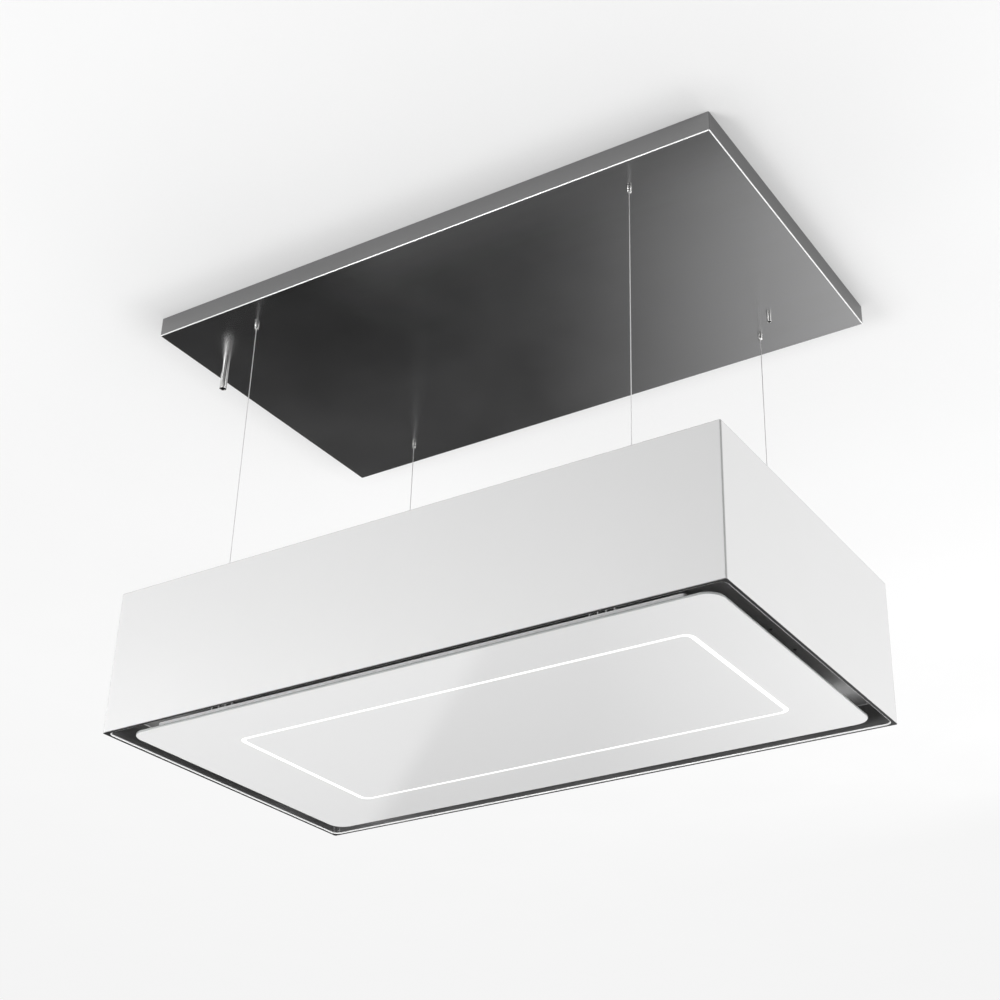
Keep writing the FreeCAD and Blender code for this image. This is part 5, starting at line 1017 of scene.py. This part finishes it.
def makePlungers(look):
    soft, bore, stem = look["soft"], look["bore"], look["plungerStem"]
    radius, tall = look["plunger"]
    for number in (1, 2, 3, 4):
        name = f"gripper_release_{number}"
        low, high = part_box(name)
        total = high[2] - low[2]
        mesh = turned(f"plunger{number}", [
            (bore, soft / 2), (bore + soft / 2, 0), (radius - soft * 1.6, 0), (radius - soft * 0.6, soft * 0.5),
            (radius, soft * 1.6), (radius, tall * 0.55), (radius * 0.95, tall * 0.60), (radius * 0.95, tall * 0.70),
            (radius, tall * 0.75), (radius, tall - soft), (radius - soft, tall), (stem, tall), (stem, total - soft),
            (stem - soft, total), (bore, total)], 40, nickel)
        # the stem above the head is finished dark and shows in the groove
        addFinish(mesh, latchPlastic, lambda face: face.center.z > tall + soft / 10)
        moveToBox(mesh, low, high)
        newPiece(f"releasePlunger{number}", mesh, name, "nickel", name)


def makeAnchors(look):
    low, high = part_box("wire_anchors")
    soft, bore, shoulder = look["soft"], look["bore"], look["anchorShoulder"]
    radius, tall = look["anchor"]
    stud, long = look["anchorStud"]
    total = high[2] - low[2]
    base = total - tall
    unit = turned("anchorUnit", [
        (bore, 0), (stud - soft, 0), (stud, soft), (stud, long), (shoulder, long), (shoulder, base),
        (radius - soft, base), (radius, base + soft), (radius, base + tall * 0.42), (radius * 0.9, base + tall * 0.46),
        (radius * 0.9, base + tall * 0.52), (radius, base + tall * 0.56), (radius, total - soft * 5),
        (radius * 0.88, total - soft * 2), (radius * 0.62, total), (bore + soft, total), (bore, total - soft)],
        40, nickel)
    fitEach("wireAnchors", "wire_anchors", unit, low[2], "hood", "nickel")


def makeGlands(look):
    # six-sided body, ribbed dome nut above, locknut below the top cover
    low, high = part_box("lead_glands")
    radius, tall = look["gland"]
    nutRadius, nutTall = look["glandNut"]
    thread, bore = look["glandThread"], look["glandBore"]
    total = high[2] - low[2]
    base = total - tall
    unit = turned("glandUnit", [
        (bore, 0), (nutRadius, 0, "hex"), (nutRadius, nutTall, "hex"), (thread, nutTall), (thread, base),
        (radius, base, "hex"), (radius, base + tall * 0.42, "hex"), (radius * 0.86, base + tall * 0.46),
        (radius * 0.86, base + tall * 0.52), (radius * 0.94, base + tall * 0.55, "knurl"),
        (radius * 0.92, base + tall * 0.8, "knurl"), (radius * 0.78, base + tall * 0.94), (radius * 0.6, total),
        (bore, total)], 48, greyPlastic)
    fitEach("leadGlands", "lead_glands", unit, low[2], "hood", "grey_plastic", turn=0.0)


def makeSleeves(look):
    # drawn tubes with a rounded lip and a flange inside the cover
    soft, (edge, thick) = look["soft"], look["flange"]
    for name, (radius, bore) in look["sleeves"].items():
        low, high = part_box(name + "_sleeve")
        wide = radius + edge
        total = high[2] - low[2]
        lip = (radius - bore) / 2
        ring = [(radius - lip + lip * math.cos(math.radians(turn)), lip + lip * math.sin(math.radians(turn)))
                for turn in range(180, 361, 30)]
        mesh = turned(name + "Tube", ring + [
            (radius, total - thick), (wide - soft, total - thick), (wide, total - thick + soft), (wide, total - soft),
            (wide - soft, total), (bore, total)], 48, nickel)
        # painted shade: the inside of the tube is finished dark, so that its hollow end looks dark
        addFinish(mesh, latchPlastic, lambda face: face.center.z > lip * 1.5
                  and face.center.x * face.normal.x + face.center.y * face.normal.y < 0)
        moveToBox(mesh, low, high)
        newPiece(name + "Sleeve", mesh, "ceiling_set", "nickel", name + "_sleeve")


for makeFitting in (makeScrews, makeRivets, makeGrippers, makePlungers, makeAnchors, makeGlands, makeSleeves):
    makeFitting(fittingLook)
print("fittings made")


# louvred outlet in the top cover
grilleLook = {
    "border": 16 * mm,
    "sheet": 1.5 * mm,
    "soft": 0.5 * mm,
    "corner": 3 * mm,
    "steps": 5,                  # faces round a corner
    "slats": 5,
    "pitch": 12 * mm,
    "slat": (9 * mm, 1.2 * mm),  # width, thickness
    "tilt": 35,
}


def makeGrille(look):
    low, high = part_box("outlet_grille")
    sheet, soft, corner = look["sheet"], look["soft"], look["corner"]
    top = high[2]
    plate, mouth = top - sheet, look["border"] + sheet
    # inset, height and corner of each ring, from the outer edge over the top and down the mouth
    sections = [(0, plate, corner), (0, top - soft, corner), (soft, top, corner - soft),
                (mouth - soft, top, 2 * soft), (mouth, top - soft, soft), (mouth, low[2], soft),
                (mouth - sheet, low[2], soft), (mouth - sheet, plate, soft)]
    rings = [roundedOutline(low, high, z, inset, radius, look["steps"]) for inset, z, radius in sections]
    border = ringMesh("grilleBorder", rings, whiteLacquer, 30, True)
    # one slat: a thin blade with rounded edges and a slight crown
    wide, thick = look["slat"]
    shares = [step / 8 - 0.5 for step in range(9)]
    shape = [(share * wide * 0.94, thick * (0.5 - 1.3 * share * share)) for share in shares]
    shape += [(across, up - thick * 0.8) for across, up in reversed(shape)]
    reach = high[0] - mouth
    slat = ringMesh("slatUnit", [[(x, *point) for point in shape] for x in (-reach, reach)], whiteLacquer, 40)
    slat.transform(Matrix.Rotation(math.radians(90 + look["tilt"]), 4, "X"))
    middle, count = (low[1] + high[1]) / 2, look["slats"]
    spots = [(0, middle + (step - (count - 1) / 2) * look["pitch"], (low[2] + plate) / 2) for step in range(count)]
    slats = setOnSpots("grilleSlats", slat, spots, 0.0)
    mesh = joinMeshes("outletGrille", [(border, (0, 0, 0)), (slats, (0, 0, 0))])
    newPiece("outletGrille", mesh, "hood", "white_lacquer", "outlet_grille")


makeGrille(grilleLook)
print("grille made")


# grease filters: expanded metal in the cassettes' lower recess
filterLook = {
    "border": 14 * mm,
    "latchRoom": 17 * mm,
    "edge": 5 * mm,
    "recess": 1.5 * mm,
    "diamond": (11 * mm, 5.6 * mm),
    "strand": 0.55 * mm,
    "reach": 0.96,  # rows overlap by a little less than a strand
    "layers": 2,
}


def meshTree():
    # rows of zigzag strands; every other row is turned over so that the rows make diamonds
    tree, enter = openTree("expandedMetal", Long="Float", Wide="Float", Pitch="Float", Step="Float",
                           Strand="Float", Reach="Float")

    def row(space, step, **offset):
        # points on a line, a step apart, as many as there is space for
        count = plus(mathNode("FLOOR", divided(space, step)), 1.0)
        return addNode(tree, "GeometryNodeMeshLine", {"Count": count, "Offset": combine(tree, **offset)}).outputs[0]

    half = divided(enter["Pitch"], 2.0)
    odd = mathNode("MODULO", addNode(tree, "GeometryNodeInputIndex").outputs[0], 2.0)
    swing = times(minus(odd, 0.5), times(enter["Step"], enter["Reach"]))
    zigzag = addNode(tree, "GeometryNodeSetPosition", {"Geometry": row(enter["Long"], half, X=half),
                                                       "Offset": combine(tree, Y=swing)})
    curve = addNode(tree, "GeometryNodeMeshToCurve", {0: zigzag.outputs[0]})
    strand = sweep(tree, curve.outputs[0], 4, enter["Strand"])
    rows = row(enter["Wide"], enter["Step"], Y=enter["Step"])
    over = combine(tree, X=times(odd, math.pi))
    return closeTree(tree, enter, onPoints(tree, rows, strand, Rotation=over))


def makeFilters(look):
    tree = meshTree()
    border, strand = look["border"], look["strand"]
    long, wide = look["diamond"]
    for side in ("left", "right"):
        name = "grease_filter_" + side
        low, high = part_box(name)
        start = (low[0] + border + strand, low[1] + border + look["latchRoom"] + strand)
        end = (high[0] - border - strand, high[1] - look["edge"] - border - strand)
        sheet = runTree(name + "Sheet", tree, {
            "Long": end[0] - start[0], "Wide": end[1] - start[1] - wide, "Pitch": long, "Step": wide,
            "Strand": strand, "Reach": look["reach"], "Finish": filterMetal})
        floor = low[2] + look["recess"]
        parts = [(sheet, (start[0] + long / 4 * layer, start[1] + wide / 2, floor - strand * (0.9 + 0.7 * layer)))
                 for layer in range(look["layers"])]
        newPiece("filterMesh" + side.capitalize(), joinMeshes(name + "Sheets", parts), "hood", "filter_mesh")


makeFilters(filterLook)
print("filters made")
